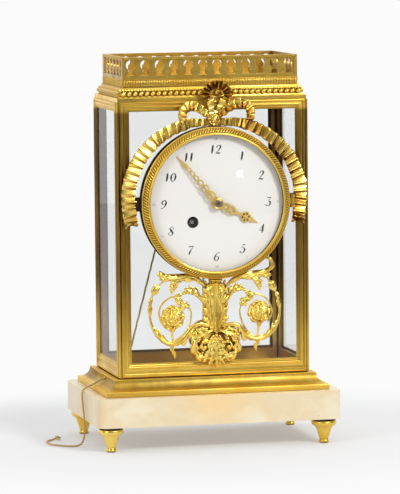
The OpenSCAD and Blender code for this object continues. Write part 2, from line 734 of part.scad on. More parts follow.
module bezel() {
    d = bezel_depth;
    r = bezel_d / 2;
    o = dial_open_d / 2;
    color("gold") difference() {
        union() {
            turned_y([0, z_dial], y_dial, [[bezel_in_r, 0.3], [bezel_wall_r, 0.3],
                [bezel_wall_r, 6], [r - 0.5, 6.5], [r, 7.7], [r, 8.8], [r - 0.6, 10.2],
                [r - 1.8, 10.8], [r - 2.2, 12], [r - 3.2, d], [r - 5.2, d - 1.4],
                [o, d - 1.8], [o, d - 2.9], [glass_r + 0.2, d - 2.9],
                [glass_r + 0.2, d - 4.6], [bezel_in_r, d - 5.2]]);
            translate([hinge_x, hinge_y, z_dial]) {
                cylinder(r = knuckle_r, h = 6 - 2 * move_gap, center = true);
                translate([-3, 0, 0]) cube([5, 2.6, 6 - 2 * move_gap], center = true);
            }
        }
        translate([hinge_x, hinge_y, z_dial])
            cylinder(r = bezel_pin_r + run_fit, h = lug_h, center = true);
    }
}
module bezel_glass() {
    color("lightsteelblue", 0.3) turned_y([0, z_dial], y_dial,
        cap(glass_r, glass_bulge, glass_t, bezel_depth - 3.3));
}
module bezel_hinge_pin() {
    color("gray") translate([hinge_x, hinge_y, z_dial])
        cylinder(r = bezel_pin_r, h = 2 * knuckle_h, center = true);
}

// Hands: outlines point up before they turn; rows are [distance, half width]
function blade(rows) = concat([for (q = rows) [q[1], q[0]]],
    [for (i = [len(rows) - 1:-1:0]) [-rows[i][1], rows[i][0]]]);
module hand_eye(at, half, len) {
    polygon([[0, at - len], [half, at], [0, at + len], [-half, at]]);
}
// A hand is a sheet domed like the glass; its back is d in front of the dial plate at the middle
module domed_sheet(reach, d) {
    big = (glass_r * glass_r + glass_bulge * glass_bulge) / (2 * glass_bulge);
    bulge = big - sqrt(big * big - reach * reach);
    intersection() {
        along_y(y_dial - d - 2, y_dial) children();
        turned_y([0, 0], y_dial, cap(reach, bulge, hand_t, d + hand_t - bulge));
    }
}
hand_t = 0.7;
d_hour = 11.5;
d_minute = 13.7;
module minute_hand() {
    f = minute_len / 57;
    color("gold") on_dial() rotate([0, minute_turn, 0]) union() {
        difference() {
            domed_sheet(minute_len + 1, d_minute) difference() {
                union() {
                    circle(5.2);
                    polygon(blade([for (q = [[4, 2.4], [9, 3.2], [13, 1.4], [17.5, 3.2],
                        [22, 1.2], [26, 2.6], [30, 1.1], [34, 2.4], [38, 1], [42, 2],
                        [46, 0.8], [57, 0.2]]) [q[0] * f, q[1]]]));
                }
                for (q = [[9, 1.9], [17.5, 1.9], [26, 1.4], [34, 1.3]])
                    hand_eye(q[0] * f, q[1], 2.6);
            }
            rod_y([0, 0], centre_arbor_r + run_fit, y_dial - 16, y_dial);
        }
        cannon_pinion();
    }
}
// The cannon pinion's pipe runs on the centre arbor and carries the minute hand
module cannon_pinion() {
    difference() {
        union() {
            rod_y([0, 0], cannon_r, y_dial - d_minute - 0.1, y_fplate - 0.8);
            along_y(y_fplate - 3.4, y_fplate - 0.8) rotate(minute_turn)
                polygon(gear_outline(cannon_teeth, cannon_module, to_minute, 0.7, 1));
        }
        rod_y([0, 0], centre_arbor_r + run_fit, y_dial - 16, y_fplate + 1);
    }
}
module hour_hand() {
    f = hour_len / 44;
    color("gold") on_dial() rotate([0, hour_turn, 0]) difference() {
        domed_sheet(hour_len + 1, d_hour) difference() {
            union() {
                circle(5.6);
                polygon(blade([for (q = [[4, 3], [9, 4.2], [16, 4.4], [21, 2.4], [24, 1.4],
                    [34, 2.4], [37, 1.2], [44, 0.2]]) [q[0] * f, q[1]]]));
                translate([0, 30 * f]) circle(5);
            }
            polygon([[0, 6.4 * f], [2.6, 10 * f], [2.8, 15.5 * f], [0, 20 * f],
                [-2.8, 15.5 * f], [-2.6, 10 * f]]);
            for (a = [0:60:300]) translate([0, 30 * f] + polar(3, a)) circle(0.7);
        }
        rod_y([0, 0], hour_pipe_r + 0.02, y_dial - 16, y_dial);
    }
}
module hand_collet() {
    color("silver") on_dial() difference() {
        rod_y([0, 0], 2.9, y_dial - 15.6, y_dial - d_minute - hand_t);
        rod_y([0, 0], centre_arbor_r + run_fit, y_dial - 17, y_dial - 14);
    }
}

// Ribbon: a bow over the dial and two pleated ends that fall round the bezel
module ribbon_end() {
    on_dial() pleated_band(ribbon_route, 46, ribbon_w - 3, ribbon_w, y_ribbon, ribbon_t,
        pleat_h);
}
module ribbon_right() {
    color("gold") ribbon_end();
}
module ribbon_left() {
    color("gold") mirror([1, 0, 0]) ribbon_end();
}
module ribbon_bow() {
    knot_z = bezel_d / 2 + 4.3;
    color("gold") on_dial() union() {
        pleated_band([for (a = [-35:25:215]) [9.6 * cos(a), knot_z + 23.6 + 9.2 * sin(a)]], 30,
            8.4, 8.4, y_ribbon, ribbon_t, pleat_h);
        for (s = [-1, 1]) {
            pleated_band([for (q = [[3, 5], [10, 9.5], [17, 14], [25, 16.4], [32, 13.6],
                [34.6, 7], [34, 2]]) [s * q[0], knot_z + q[1]]], 22, 7.4, 6.4, y_ribbon,
                ribbon_t, pleat_h);
            pleated_band([for (q = [[2, 0], [12, 0.4], [22, 0.6], [29.4, -1.2]])
                [s * q[0], knot_z + q[1]]], 12, 6.2, 7.4, y_ribbon, ribbon_t, pleat_h * 0.6);
        }
        turned_y([0, knot_z + 1.6], y_ribbon, [[0, 0], [6, 0], [6, 1.6], [5.4, 3], [4.4, 3.4],
            [3.4, 2.6], [2.2, 3.6], [0, 4.2]]);
        along_y(y_ribbon - ribbon_t, y_ribbon) polygon([[-4, knot_z], [4, knot_z],
            [5, knot_z + 20], [-5, knot_z + 20]]);
        rod_y([0, z_open_top + 4.4 - z_dial], 1.8, y_ribbon - 0.5, y_face + 0.3);
    }
}

// Lower ornament: an acanthus stem on a shell, with a scroll on each side
stem_half = [[0, -117.6], [9, -117.6], [11, -108], [12.8, -99], [13.6, -90], [12.4, -83],
    [9.4, -78], [7.4, -74], [6.6, -70.6], [0, -70.6]];
module stem_outline() {
    under_shape(concat(stem_half, [for (i = [len(stem_half) - 2:-1:1]) [-stem_half[i][0],
        stem_half[i][1]]]));
}
module shell_outline() {
    for (s = [-1, 1]) translate(under([s * 10.4, -132])) circle(11.2 * stretch);
    under_shape([[-9, -117.6], [9, -117.6], [16, -124], [8, -146], [5, -150], [0, -152.8],
        [-5, -150], [-8, -146], [-16, -124]]);
}
module acanthus_stem() {
    color("gold") on_dial() union() {
        along_y(y_face - 5.4, y_face) stem_outline();
        for (s = [-1, 1]) along_y(y_face - 7, y_face - 5.3)
            under_shape([[s * 1, -114], [s * 7, -110], [s * 10.4, -98], [s * 9.6, -88],
                [s * 6, -82], [s * 3, -88], [s * 1, -98]]);
        along_y(y_face - 8, y_face - 5.3)
            under_shape([[-2.2, -117], [2.2, -117], [3, -76], [-3, -76]]);
        along_y(y_face - 8.6, y_face - 5.3)
            under_shape([[-6.6, -75], [6.6, -75], [6.6, -70.6], [-6.6, -70.6]]);
        along_y(y_face, y_face + tongue_t) difference() {
            under_shape([[-5, -86], [5, -86], [5, -58], [-5, -58]]);
            translate(under([0, -62])) circle(1.4);
        }
        along_y(y_face - 1, y_face + 1)
            under_shape([[-5, -86], [5, -86], [5, -74], [-5, -74]]);
    }
}
module shell_palmette() {
    color("gold") union() {
        on_dial() along_y(y_face - 5, y_face) shell_outline();
        for (s = [-1, 1]) turned_y([s * 10.4, z_dial + under([0, -132])[1]], y_face,
            [[0, 4], [2.4, 4],
            [2.4, 9.4], [3.4, 8.6], [4.4, 6], [6, 7.4], [8, 8.6], [10, 8], [11.2, 6], [11.2, 4],
            [0, 4]]);
        on_dial() along_y(y_face - 8, y_face - 4.9) under_shape([[-1.2, -120], [1.2, -120],
            [4.2, -149], [0, -152.4], [-4.2, -149]]);
        wall(3, z_open - 4.8, z_open - 3.2, y_face - 1, y_face + 0.3);
    }
}
module scroll_half() {
    y0 = y_scroll - scroll_t;
    on_dial() {
        difference() {
            along_y(y0, y_scroll) union() {
                under_strip(scroll_route, 36, 2, 1.1);
                under_strip(ring_left_route, 30, 1.8, 0.7);
                under_strip(ring_right_route, 16, 1, 0.8);
                under_strip(leaf_route, 14, 1.2, 2.6);
                translate(flower_at) circle(flower_r);
                translate(under([39.9, -117.2])) circle(3.6 * stretch);
                under_shape([[39.2, -117], [40.8, -117], [41.2, -129], [40, -139.5], [37, -135],
                    [38.2, -129]]);
                translate(under([55.4, -80])) circle(3 * stretch);
                under_shape([[28, -67.4], [46, -65.4], [53.4, -59.6], [53, -66], [47, -70],
                    [43.4, -83], [40.2, -76], [33, -73.6]]);
                under_shape([[29.6, -87.6], [33.4, -86.6], [31.4, -92], [24.4, -98.4],
                    [22, -92.6]]);
                under_shape([[18, -79.6], [27, -76.6], [31, -82], [24, -81.4]]);
                under_shape([[50, -127.4], [56.6, -121.6], [58, -109.4], [53, -119]]);
            }
            along_y(y0 - 1, y_scroll + 1) {
                stem_outline();
                shell_outline();
            }
        }
        turned_y(flower_at, y0, [[0, -0.5], [flower_r - 0.8, -0.5], [flower_r - 1.4, 1.2],
            [flower_r * 0.7, 2.4], [flower_r * 0.5, 1.6], [flower_r * 0.3, 3], [0, 3.4]]);
    }
}
module scroll_right() {
    color("gold") scroll_half();
}
module scroll_left() {
    color("gold") mirror([1, 0, 0]) scroll_half();
}

// Movement
module arbor_holes(y0, y1, places, r) {
    for (p = places) rod_y(p, r + run_fit, y0, y1);
}
module front_plate() {
    color("khaki") on_dial() difference() {
        union() {
            rod_y([0, 0], plate_r, y_fplate, y_gap);
            for (a = dial_foot_angles) rod_y(polar(42, a), 2, y_face, y_fplate + 0.1);
            rod_y(minute_at, stud_r, y_fplate - 7.6, y_fplate + 0.1);
            rod_y(click_at, stud_r, y_fplate - 2.6, y_fplate + 0.1);
        }
        arbor_holes(y_fplate - 1, y_gap + 1, [[0, 0]], centre_arbor_r);
        arbor_holes(y_fplate - 1, y_gap + 1, [wind_at], 2.6);
        arbor_holes(y_fplate - 1, y_gap + 1, [third_at, escape_at, [0, pivot_up], hammer_at],
            arbor_r);
    }
}
module back_plate() {
    color("khaki") on_dial() difference() {
        union() {
            rod_y([0, 0], plate_r, y_bplate, y_back);
            rod_y(pulley_at, 2, y_back - 0.1, y_back + 5.4);
            rod_y(bell_at, 2.2, y_back - 0.1, y_back + 13.4);
            rod_y(bell_at, 1.5, y_back, y_back + 32);
        }
        arbor_holes(y_bplate - 1, y_back + 1, [[0, 0]], centre_arbor_r);
        arbor_holes(y_bplate - 1, y_back + 1, [wind_at], 2);
        arbor_holes(y_bplate - 1, y_back + 1, [third_at, escape_at, [0, pivot_up], hammer_at],
            arbor_r);
    }
}
module plate_pillars() {
    color("darkkhaki") on_dial() for (a = pillar_angles) {
        rod_y(polar(50, a), pillar_r, y_gap, y_bplate);
        rod_y(polar(50, a), pillar_r + 0.6, y_gap + plate_gap / 2 - 2, y_gap + plate_gap / 2 + 2);
    }
}

// A toothed wheel with crossed-out arms, and its bore
module wheel(at, teeth, m, lead, y0, y1, bore, arms) {
    rp = teeth * m / 2;
    translate([at[0], 0, at[1]]) along_y(y0, y1) difference() {
        polygon(gear_outline(teeth, m, lead));
        if (arms > 0) difference() {
            circle(rp - 2.6 * m - 1);
            circle(bore + 2.6);
            for (k = [0:arms - 1]) rotate(k * 360 / arms) translate([0, -0.9])
                square([rp, 1.8]);
        }
        if (bore > 0) circle(bore);
    }
}
module pinion(at, teeth, m, lead, y0, y1) {
    translate([at[0], 0, at[1]]) along_y(y0, y1)
        polygon(gear_outline(teeth, m, lead, 0.55, 1.3));
}
function bearing(a, b) = atan2(b[1] - a[1], b[0] - a[0]);

y_great = y_bplate - 9;
y_centre = y_bplate - 4.8;
y_third = y_bplate - 16;
y_escape = y_bplate - 20;
to_wind = bearing([0, 0], wind_at);
to_third = bearing([0, 0], third_at);
to_escape = bearing(third_at, escape_at);
to_minute = bearing([0, 0], minute_at);

module mainspring_barrel() {
    color("goldenrod") on_dial() difference() {
        union() {
            rod_y(wind_at, barrel_r, y_gap + 1.8, y_great);
            wheel(wind_at, great_teeth, barrel_module, to_wind + 180, y_great, y_great + 1.8, 0, 0);
        }
        rod_y(wind_at, barrel_r - 1.4, y_gap + 3, y_great - 1);
        rod_y(wind_at, 2.6 + run_fit, y_gap, y_great + 3);
    }
}
// The winding arbor carries the barrel, the ratchet wheel and the key's square
module winding_arbor() {
    color("lightgray") on_dial() union() {
        rod_y(wind_at, 2.6, y_fplate - 3.2, y_great + 2.2);
        rod_y(wind_at, 2, y_great + 2.2, y_back);
        rod_y(wind_at, 5, y_gap + 5, y_great - 3);
        translate([wind_at[0], y_dial - 4.4, wind_at[1]]) rotate([-90, 0, 0])
            translate([-wind_square / 2, -wind_square / 2, 0])
            cube([wind_square, wind_square, y_fplate - 3.2 - (y_dial - 4.4)]);
        translate([wind_at[0], 0, wind_at[1]]) along_y(y_fplate - 2.4, y_fplate - 1)
            polygon(ratchet_outline(ratchet_teeth, ratchet_r, 1.2));
    }
}
module click() {
    tip = wind_at + polar(ratchet_r + 0.5, 68);
    color("steelblue") on_dial() difference() {
        along_y(y_fplate - 2.4, y_fplate - 1) polygon(concat(
            [for (a = [31:22:251]) click_at + polar(2.6, a)],
            [tip + [-0.2, 0.1], tip + [1.4, 0.6]]));
        rod_y(click_at, stud_r + run_fit, y_fplate - 4, y_fplate);
    }
}
module centre_wheel() {
    color("goldenrod") on_dial() union() {
        rod_y([0, 0], centre_arbor_r, y_dial - 15.9, y_back);
        pinion([0, 0], centre_pinion, barrel_module, to_wind + 15, y_great - 0.8, y_great + 2.4);
        wheel([0, 0], centre_teeth, centre_module, to_third, y_centre, y_centre + 1.2, 0.9, 5);
    }
}
module third_wheel() {
    color("goldenrod") on_dial() union() {
        rod_y(third_at, arbor_r, y_fplate, y_back);
        pinion(third_at, third_pinion, centre_module, to_third + 180 + 180 / third_pinion,
            y_centre - 1, y_centre + 2.2);
        wheel(third_at, third_teeth, third_module, to_escape, y_third, y_third + 1, 0.7, 4);
    }
}
module escape_wheel() {
    color("goldenrod") on_dial() union() {
        rod_y(escape_at, arbor_r, y_fplate, y_back);
        pinion(escape_at, escape_pinion, third_module, to_escape + 180 + 180 / escape_pinion,
            y_third - 1, y_third + 2);
        translate([escape_at[0], 0, escape_at[1]]) along_y(y_escape, y_escape + 1) difference() {
            polygon(ratchet_outline(escape_teeth, escape_r, 2));
            difference() {
                circle(escape_r - 3.4);
                circle(2.6);
                for (k = [0:3]) rotate(k * 90) translate([0, -0.8]) square([escape_r, 1.6]);
            }
            circle(0.7);
        }
    }
}
// The anchor's arbor, its pallets over the escape wheel, and the crutch behind the back plate
module anchor() {
    p = [0, pivot_up];
    reach = escape_at - p;
    color("silver") on_dial() union() {
        rod_y(p, arbor_r, y_fplate, y_rod - 2.2);
        translate([0, 0, pivot_up]) along_y(y_escape - 0.4, y_escape + 1.4) union() {
            circle(2.6);
            for (s = [-1, 1]) {
                polygon([[s * -1, 1.6], [s * 2, 1.8], [s * 10.6, -3.4], [s * 12.2, -8.4],
                    [s * 10.8, -9.2], [s * 9, -4.4], [s * 1, -1.8]]);
            }
        }
        along_y(y_rod - 4, y_rod - 2.4) polygon([[-1.4, pivot_up + 2.4], [1.4, pivot_up + 2.4],
            [1.1, pivot_up - 38], [-1.1, pivot_up - 38]]);
        for (s = [-1, 1]) rod_y([s * (rod_r + 0.75), pivot_up - 36], 0.6, y_rod - 3, y_rod + 2);
        rod_y([0, pivot_up - 36], 2.8, y_rod - 4, y_rod - 2.4);
    }
}
module suspension_cock() {
    z = z_dial + pivot_up;
    color("khaki") difference() {
        union() {
            translate([-7, y_back, z + 3.4]) cube([14, 2, 6]);
            translate([-3.4, y_back, z + 3.4]) cube([6.8, y_rod - y_back + 2.6, 5]);
        }
        translate([-0.6, y_rod - 1.8, z + 2]) cube([1.2, 3.6, 9]);
    }
}
// The pendulum turns about the middle of its suspension spring
module pendulum_rod() {
    z = z_dial + pivot_up;
    low = z - pendulum_len - bob_r - 6;
    color("silver") union() {
        rod_y([0, z], 0.9, y_rod - 2, y_rod + 2);
        translate([-0.2, y_rod - 1.5, z - 4]) cube([0.4, 3, 9]);
        translate([-2, y_rod - 1.6, z - 8]) cube([4, 3.2, 4.6]);
        translate([0, y_rod, low]) cylinder(r = rod_r, h = z - 8 - low + 0.5);
    }
}
module pendulum_bob() {
    z = z_dial + pivot_up - pendulum_len;
    color("goldenrod") difference() {
        union() {
            turned_y([0, z], y_rod, [[0, -bob_t / 2], [bob_r - 5, -bob_t / 2], [bob_r, -1],
                [bob_r, 1], [bob_r - 5, bob_t / 2], [0, bob_t / 2]]);
            translate([0, y_rod, z - bob_r - 3.6]) cylinder(r = 3.2, h = 3);
            translate([0, y_rod, z - bob_r - 0.7]) cylinder(r = 2, h = 3);
        }
        translate([0, y_rod, z - bob_r - 8]) cylinder(r = rod_r + run_fit, h = 2 * bob_r + 16);
    }
}

module minute_wheel() {
    color("goldenrod") on_dial() union() {
        wheel(minute_at, minute_teeth, cannon_module, to_minute + 180 + 180 / minute_teeth,
            y_fplate - 3, y_fplate - 1.6, stud_r + run_fit, 0);
        translate([minute_at[0], 0, minute_at[1]]) along_y(y_fplate - 6.6, y_fplate - 3)
            difference() {
            polygon(gear_outline(minute_pinion, hour_module, to_minute + 180, 0.55, 1.2));
            circle(stud_r + run_fit);
        }
    }
}
module hour_wheel() {
    color("goldenrod") on_dial() difference() {
        union() {
            rod_y([0, 0], hour_pipe_r, y_dial - d_hour - hand_t, y_fplate - 4.2);
            wheel([0, 0], hour_teeth, hour_module, to_minute + 180 / hour_teeth, y_fplate - 5.8,
                y_fplate - 4.6, 0, 0);
        }
        rod_y([0, 0], cannon_r + run_fit, y_dial - 16, y_fplate);
    }
}

module repeat_pulley() {
    color("goldenrod") on_dial() difference() {
        turned_y(pulley_at, y_back + 5, [[0, 0], [pulley_r + 2.4, 0], [pulley_r + 2.4, 0.7],
            [pulley_r, 1.3], [pulley_r, 3.5], [pulley_r + 2.4, 4.1], [pulley_r + 2.4, 4.8],
            [0, 4.8]]);
        rod_y(pulley_at, 2 + run_fit, y_back, y_back + 7);
    }
}
module hammer() {
    color("lightgray") on_dial() union() {
        rod_y(hammer_at, arbor_r, y_fplate, y_back + 3);
        along_y(y_back + 1.4, y_back + 3) union() {
            translate(hammer_at) circle(2.4);
            polygon([hammer_at + [-1, 1.6], hammer_at + [1, -1.6], hammer_head + [0.8, -1.2],
                hammer_head + [-0.8, 1.2]]);
        }
        rod_y(hammer_head, 3.2, y_back + 1.4, y_back + 17);
    }
}
module bell() {
    d = 15;
    rim = y_back + 13;
    r = bell_r;
    t = bell_t;
    color("palegoldenrod") on_dial() difference() {
        turned_y(bell_at, rim, [[r, 0], [r + 0.4, -1.2], [r - 0.8, -6], [r - 4, -10],
            [r - 10, -13.4], [r - 20, -d], [0, -d - 0.4], [0, -d - 0.4 + t],
            [r - 20, -d + t], [r - 10.6, -13.4 + t], [r - 5.2, -10 + t * 0.7],
            [r - 2.4, -6], [r - t, -1.2], [r - t, 0]]);
        rod_y(bell_at, 1.5 + seat_fit, rim, rim + d + 4);
    }
}

// Cord
module inner_cord() {
    color("peru") cord_tube(curve(inner_route, 28), cord_d / 2);
}
module free_cord() {
    color("peru") cord_tube(curve(free_route, 44), cord_d / 2);
}
module cord_knot() {
    color("peru") translate(knot_at) sphere(knot_r, $fn = 24);
}

marble_plinth();
feet();
foot_washers();
foot_bolts();
base_moulding();
cord_bush();
cage_floor();
corner_posts();
front_frame();
left_frame();
right_frame();
front_glass();
left_glass();
right_glass();
rear_door_frame();
rear_door_glass();
rear_door_pins();
roof_plate();
cornice();
milled_band();
gallery_front();
gallery_left();
gallery_right();
gallery_rear();
dial_plate();
enamel_dial();
bezel();
bezel_glass();
bezel_hinge_pin();
hour_hand();
minute_hand();
hand_collet();
ribbon_bow();
ribbon_left();
ribbon_right();
acanthus_stem();
shell_palmette();
scroll_left();
scroll_right();
front_plate();
back_plate();
plate_pillars();
mainspring_barrel();
winding_arbor();
click();
centre_wheel();
third_wheel();
escape_wheel();
anchor();
suspension_cock();
pendulum_rod();
pendulum_bob();
minute_wheel();
hour_wheel();
repeat_pulley();
hammer();
bell();
inner_cord();
free_cord();
cord_knot();
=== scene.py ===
# %% [markdown]
# # A gilt cage clock
# The imported CAD model comes in as a fixed frame, and every piece of this lesson is built around it.
# The box of the CAD model is kept.

# %% Load the imported clock
import json
import math

import bmesh
import bpy
import numpy as np
from mathutils import Matrix, Vector

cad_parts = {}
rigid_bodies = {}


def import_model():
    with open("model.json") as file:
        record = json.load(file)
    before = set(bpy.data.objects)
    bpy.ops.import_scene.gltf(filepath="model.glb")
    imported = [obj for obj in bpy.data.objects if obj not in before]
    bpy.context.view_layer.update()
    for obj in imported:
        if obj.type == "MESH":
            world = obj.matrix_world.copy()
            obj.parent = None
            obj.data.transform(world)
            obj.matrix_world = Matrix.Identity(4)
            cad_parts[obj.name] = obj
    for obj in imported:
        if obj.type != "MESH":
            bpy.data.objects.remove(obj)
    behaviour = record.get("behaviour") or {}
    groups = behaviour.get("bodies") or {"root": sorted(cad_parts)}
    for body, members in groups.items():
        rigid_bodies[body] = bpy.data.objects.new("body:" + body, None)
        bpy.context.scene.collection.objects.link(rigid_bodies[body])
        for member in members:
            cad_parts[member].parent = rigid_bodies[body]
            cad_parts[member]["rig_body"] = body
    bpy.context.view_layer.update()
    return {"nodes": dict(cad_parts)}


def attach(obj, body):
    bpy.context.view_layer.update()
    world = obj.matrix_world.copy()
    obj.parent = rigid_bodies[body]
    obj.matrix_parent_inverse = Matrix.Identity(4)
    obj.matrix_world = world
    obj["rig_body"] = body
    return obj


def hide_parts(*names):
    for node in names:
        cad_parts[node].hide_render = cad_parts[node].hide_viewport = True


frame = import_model()
MM = 0.001

# %% [markdown]
# The clock was seen from the left of its front and a little above, through a long lens. The camera
# stands there, turned about its own view by half a degree. Its sensor's long side is the height.

# %% Camera
def in_scene(name, data):
    obj = bpy.data.objects.new(name, data)
    bpy.context.scene.collection.objects.link(obj)
    return obj


AZIMUTH, ELEVATION, ROLL = (math.radians(a) for a in (-13.44, 5.48, -0.545))
TARGET = Vector((-0.96, 0, 179.9)) * MM
DISTANCE, IMAGE_HEIGHT, FOCAL_PIXELS, SENSOR = 3.4688, 494, 3717.4, 36

away = Vector((math.sin(AZIMUTH) * math.cos(ELEVATION), -math.cos(AZIMUTH) * math.cos(ELEVATION),
    math.sin(ELEVATION)))
level = Vector((math.cos(AZIMUTH), math.sin(AZIMUTH), 0))
right = math.cos(ROLL) * level + math.sin(ROLL) * away.cross(level)
camera = in_scene("camera", bpy.data.cameras.new("camera"))
camera.data.sensor_width = SENSOR
camera.data.lens = SENSOR * FOCAL_PIXELS / IMAGE_HEIGHT
camera.data.clip_end = 20
turn = Matrix((right, away.cross(right), away)).transposed()
camera.matrix_world = Matrix.Translation(TARGET + away * DISTANCE) @ turn.to_4x4()
bpy.context.scene.camera = camera
print("lens mm:", round(camera.data.lens, 1))

# %% [markdown]
# Small helpers come next. A shape is a pair of points in millimetres and faces. `piece` turns one
# into a mesh that rides on a body of the clock, with smooth shading between sharp edges and often a
# fine bevel: real metal has no knife edges, and the bevel is what catches the light.

# %% Helpers for meshes
SHARP = 32


def smooth(mesh, sharp=None):
    mesh.polygons.foreach_set("use_smooth", [True] * len(mesh.polygons))
    if sharp:
        mesh.set_sharp_from_angle(angle=math.radians(sharp))
    return mesh


def opened(mesh):
    bm = bmesh.new()
    bm.from_mesh(mesh)
    return bm


def written(bm, mesh, outward=True, sharp=SHARP):
    """Writes a bmesh to a mesh or a new name: doubles merged, faces outward, edges kept sharp."""
    bmesh.ops.remove_doubles(bm, verts=bm.verts, dist=2e-7)
    if outward:
        bmesh.ops.recalc_face_normals(bm, faces=bm.faces)
    mesh = bpy.data.meshes.new(mesh) if isinstance(mesh, str) else mesh
    bm.to_mesh(mesh)
    bm.free()
    return smooth(mesh, sharp)


def mesh_of(name, points, faces, sharp=SHARP):
    mesh = bpy.data.meshes.new(name)
    mesh.from_pydata([[c * MM for c in p] for p in points], [], faces)
    return written(opened(mesh), mesh, sharp=sharp)


def place(name, mesh, finish, body="case", nodes=(), bevel=0.0):
    """Puts a mesh in the scene as a piece that rides on a body and stands for CAD nodes."""
    obj = in_scene(name, mesh)
    mesh.materials.clear()
    mesh.materials.append(finish)
    if bevel:
        soft = obj.modifiers.new("eased edges", "BEVEL")
        soft.width, soft.segments = bevel * MM, 2
        soft.angle_limit, soft.harden_normals = math.radians(SHARP), True
    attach(obj, body)
    if nodes:
        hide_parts(*nodes)
    return obj


def piece(name, points, faces, finish, sharp=SHARP, **how):
    return place(name, mesh_of(name, points, faces, sharp), finish, **how)


def applied(mesh, *modifiers):
    """The plain mesh that modifiers, pairs of a type and its settings, make of a mesh."""
    work = in_scene("work", mesh)
    for kind, settings in modifiers:
        made = work.modifiers.new(kind, kind)
        for name, what in settings.items():
            if name.startswith("Socket"):
                made[name] = what
            else:
                setattr(made, name, what)
    bpy.context.view_layer.update()
    done = bpy.data.meshes.new_from_object(
        work.evaluated_get(bpy.context.evaluated_depsgraph_get()))
    bpy.data.objects.remove(work)
    return smooth(done)


# %% [markdown]
# Most shapes are lofts: a skin over rings of points. A turned part, a bar and a bead are lofts too.
# Curved parts follow a spline, which passes through every point of its route.

# %% Helpers for shapes
def around(count):
    """Even angles round a full turn."""
    return 2 * math.pi * np.arange(count) / count


def loft(rings, closed=False):
    """A skin over rings of equal count. Closed joins last to first, else both ends get caps."""
    count = len(rings[0])
    points = [p for ring in rings for p in ring]
    faces = []
    for i in range(len(rings) if closed else len(rings) - 1):
        a, b = i * count, (i + 1) % len(rings) * count
        faces += [[a + j, a + (j + 1) % count, b + (j + 1) % count, b + j] for j in range(count)]
    if not closed:
        faces += [list(range(count)), list(range(len(points) - 1, len(points) - 1 - count, -1))]
    return points, faces


def lathe(profile, steps=96, spot=(0, 0, 0), axis="Z", closed=False):
    """A turned shape from rows of (radius, distance along the axis). Y points forward."""
    rings = []
    for r, d in profile:
        flat = [(max(r, 1e-4) * math.cos(a), max(r, 1e-4) * math.sin(a)) for a in around(steps)]
        rings.append([(spot[0] + x, spot[1] + y, spot[2] + d) if axis == "Z"
            else (spot[0] + x, spot[1] - d, spot[2] + y) for x, y in flat])
    return loft(rings, closed)


def bar(x0, x1, y0, y1, z0, z1):
    return loft([[(x0, y0, z), (x1, y0, z), (x1, y1, z), (x0, y1, z)] for z in (z0, z1)])


def bead(rx, ry, rz, lean=0.0, rings=8, sides=12):
    """An ellipsoid that leans sideways as it goes up."""
    loops = []
    for i in range(rings + 1):
        a = math.pi * (i / rings - 0.5)
        r = max(math.cos(a), 1e-3)
        loops.append([(rx * r * math.cos(b) + lean * rz * math.sin(a), ry * r * math.sin(b),
            rz * math.sin(a)) for b in around(sides)])
    return loft(loops)


def moved(shape, dx, dy, dz):
    return [(x + dx, y + dy, z + dz) for x, y, z in shape[0]], shape[1]


def merged(shapes):
    points, faces = [], []
    for pts, fcs in shapes:
        faces += [[v + len(points) for v in f] for f in fcs]
        points += pts
    return points, faces


def spline(route, count):
    """Points of a smooth curve through the route, as the CAD source draws its cords."""
    pts = np.array(route, float)
    out = []
    for k in range(count + 1):
        u = k * (len(pts) - 1) / count
        i = min(int(u), len(pts) - 2)
        t = u - i
        a, b, c, d = (pts[max(0, min(len(pts) - 1, i + o))] for o in (-1, 0, 1, 2))
        out.append(0.5 * (2 * b + (c - a) * t + (2 * a - 5 * b + 4 * c - d) * t * t
            + (3 * b - a - 3 * c + d) * t ** 3))
    return np.array(out)


def tangents(line):
    t = np.gradient(line, axis=0)
    return t / np.linalg.norm(t, axis=1)[:, None]


def arc(cx, cy, rx, ry, a0, a1, steps):
    return [(cx + rx * math.cos(math.radians(a)), cy + ry * math.sin(math.radians(a)))
        for a in np.linspace(a0, a1, steps + 1)]


# %% [markdown]
# Shader maths reads best as plain expressions, so a small class wraps a socket and turns `+ - *`
# into Math nodes. `Nodes.node` makes any other node from its settings and its inputs.

# %% Helpers for node trees
class Value:
    """One output of a node tree, with arithmetic."""

    def __init__(self, tree, socket):
        self.tree, self.socket = tree, socket

    def math(self, operation, other=0.0, swap=False):
        node = self.tree.nodes.new("ShaderNodeMath")
        node.operation = operation
        for slot, what in zip(node.inputs, (other, self) if swap else (self, other)):
            feed(self.tree, slot, what)
        return Value(self.tree, node.outputs[0])

    def __add__(self, other): return self.math("ADD", other)
    def __sub__(self, other): return self.math("SUBTRACT", other)
    def __rsub__(self, other): return self.math("SUBTRACT", other, swap=True)
    def __mul__(self, other): return self.math("MULTIPLY", other)
    __radd__, __rmul__ = __add__, __mul__


def feed(tree, slot, what):
    if isinstance(what, Value):
        tree.links.new(what.socket, slot)
    elif hasattr(slot.default_value, "__len__") and len(what) == 3 and len(slot.default_value) == 4:
        slot.default_value = (*what, 1)
    else:
        slot.default_value = what


class Nodes:
    """A node tree that is drawn with short calls."""

    def __init__(self, tree):
        self.tree = tree

    def node(self, kind, settings=None, output=0, **values):
        made = self.tree.nodes.new(kind)
        for name, what in (settings or {}).items():
            setattr(made, name, what)
        for name, what in values.items():
            key = int(name[1:]) if name[1:].isdigit() else name.replace("_", " ")
            feed(self.tree, made.inputs[key], what)
        return Value(self.tree, made.outputs[output])

    def axis(self, vector, index):
        return self.node("ShaderNodeSeparateXYZ", output=index, Vector=vector)

    def distance(self, a, b):
        return self.node("ShaderNodeVectorMath", {"operation": "DISTANCE"}, output=1, i0=a, i1=b)

    def ramp(self, value, low, high):
        return self.node("ShaderNodeMapRange", {"interpolation_type": "SMOOTHSTEP"}, Value=value,
            From_Min=low, From_Max=high)


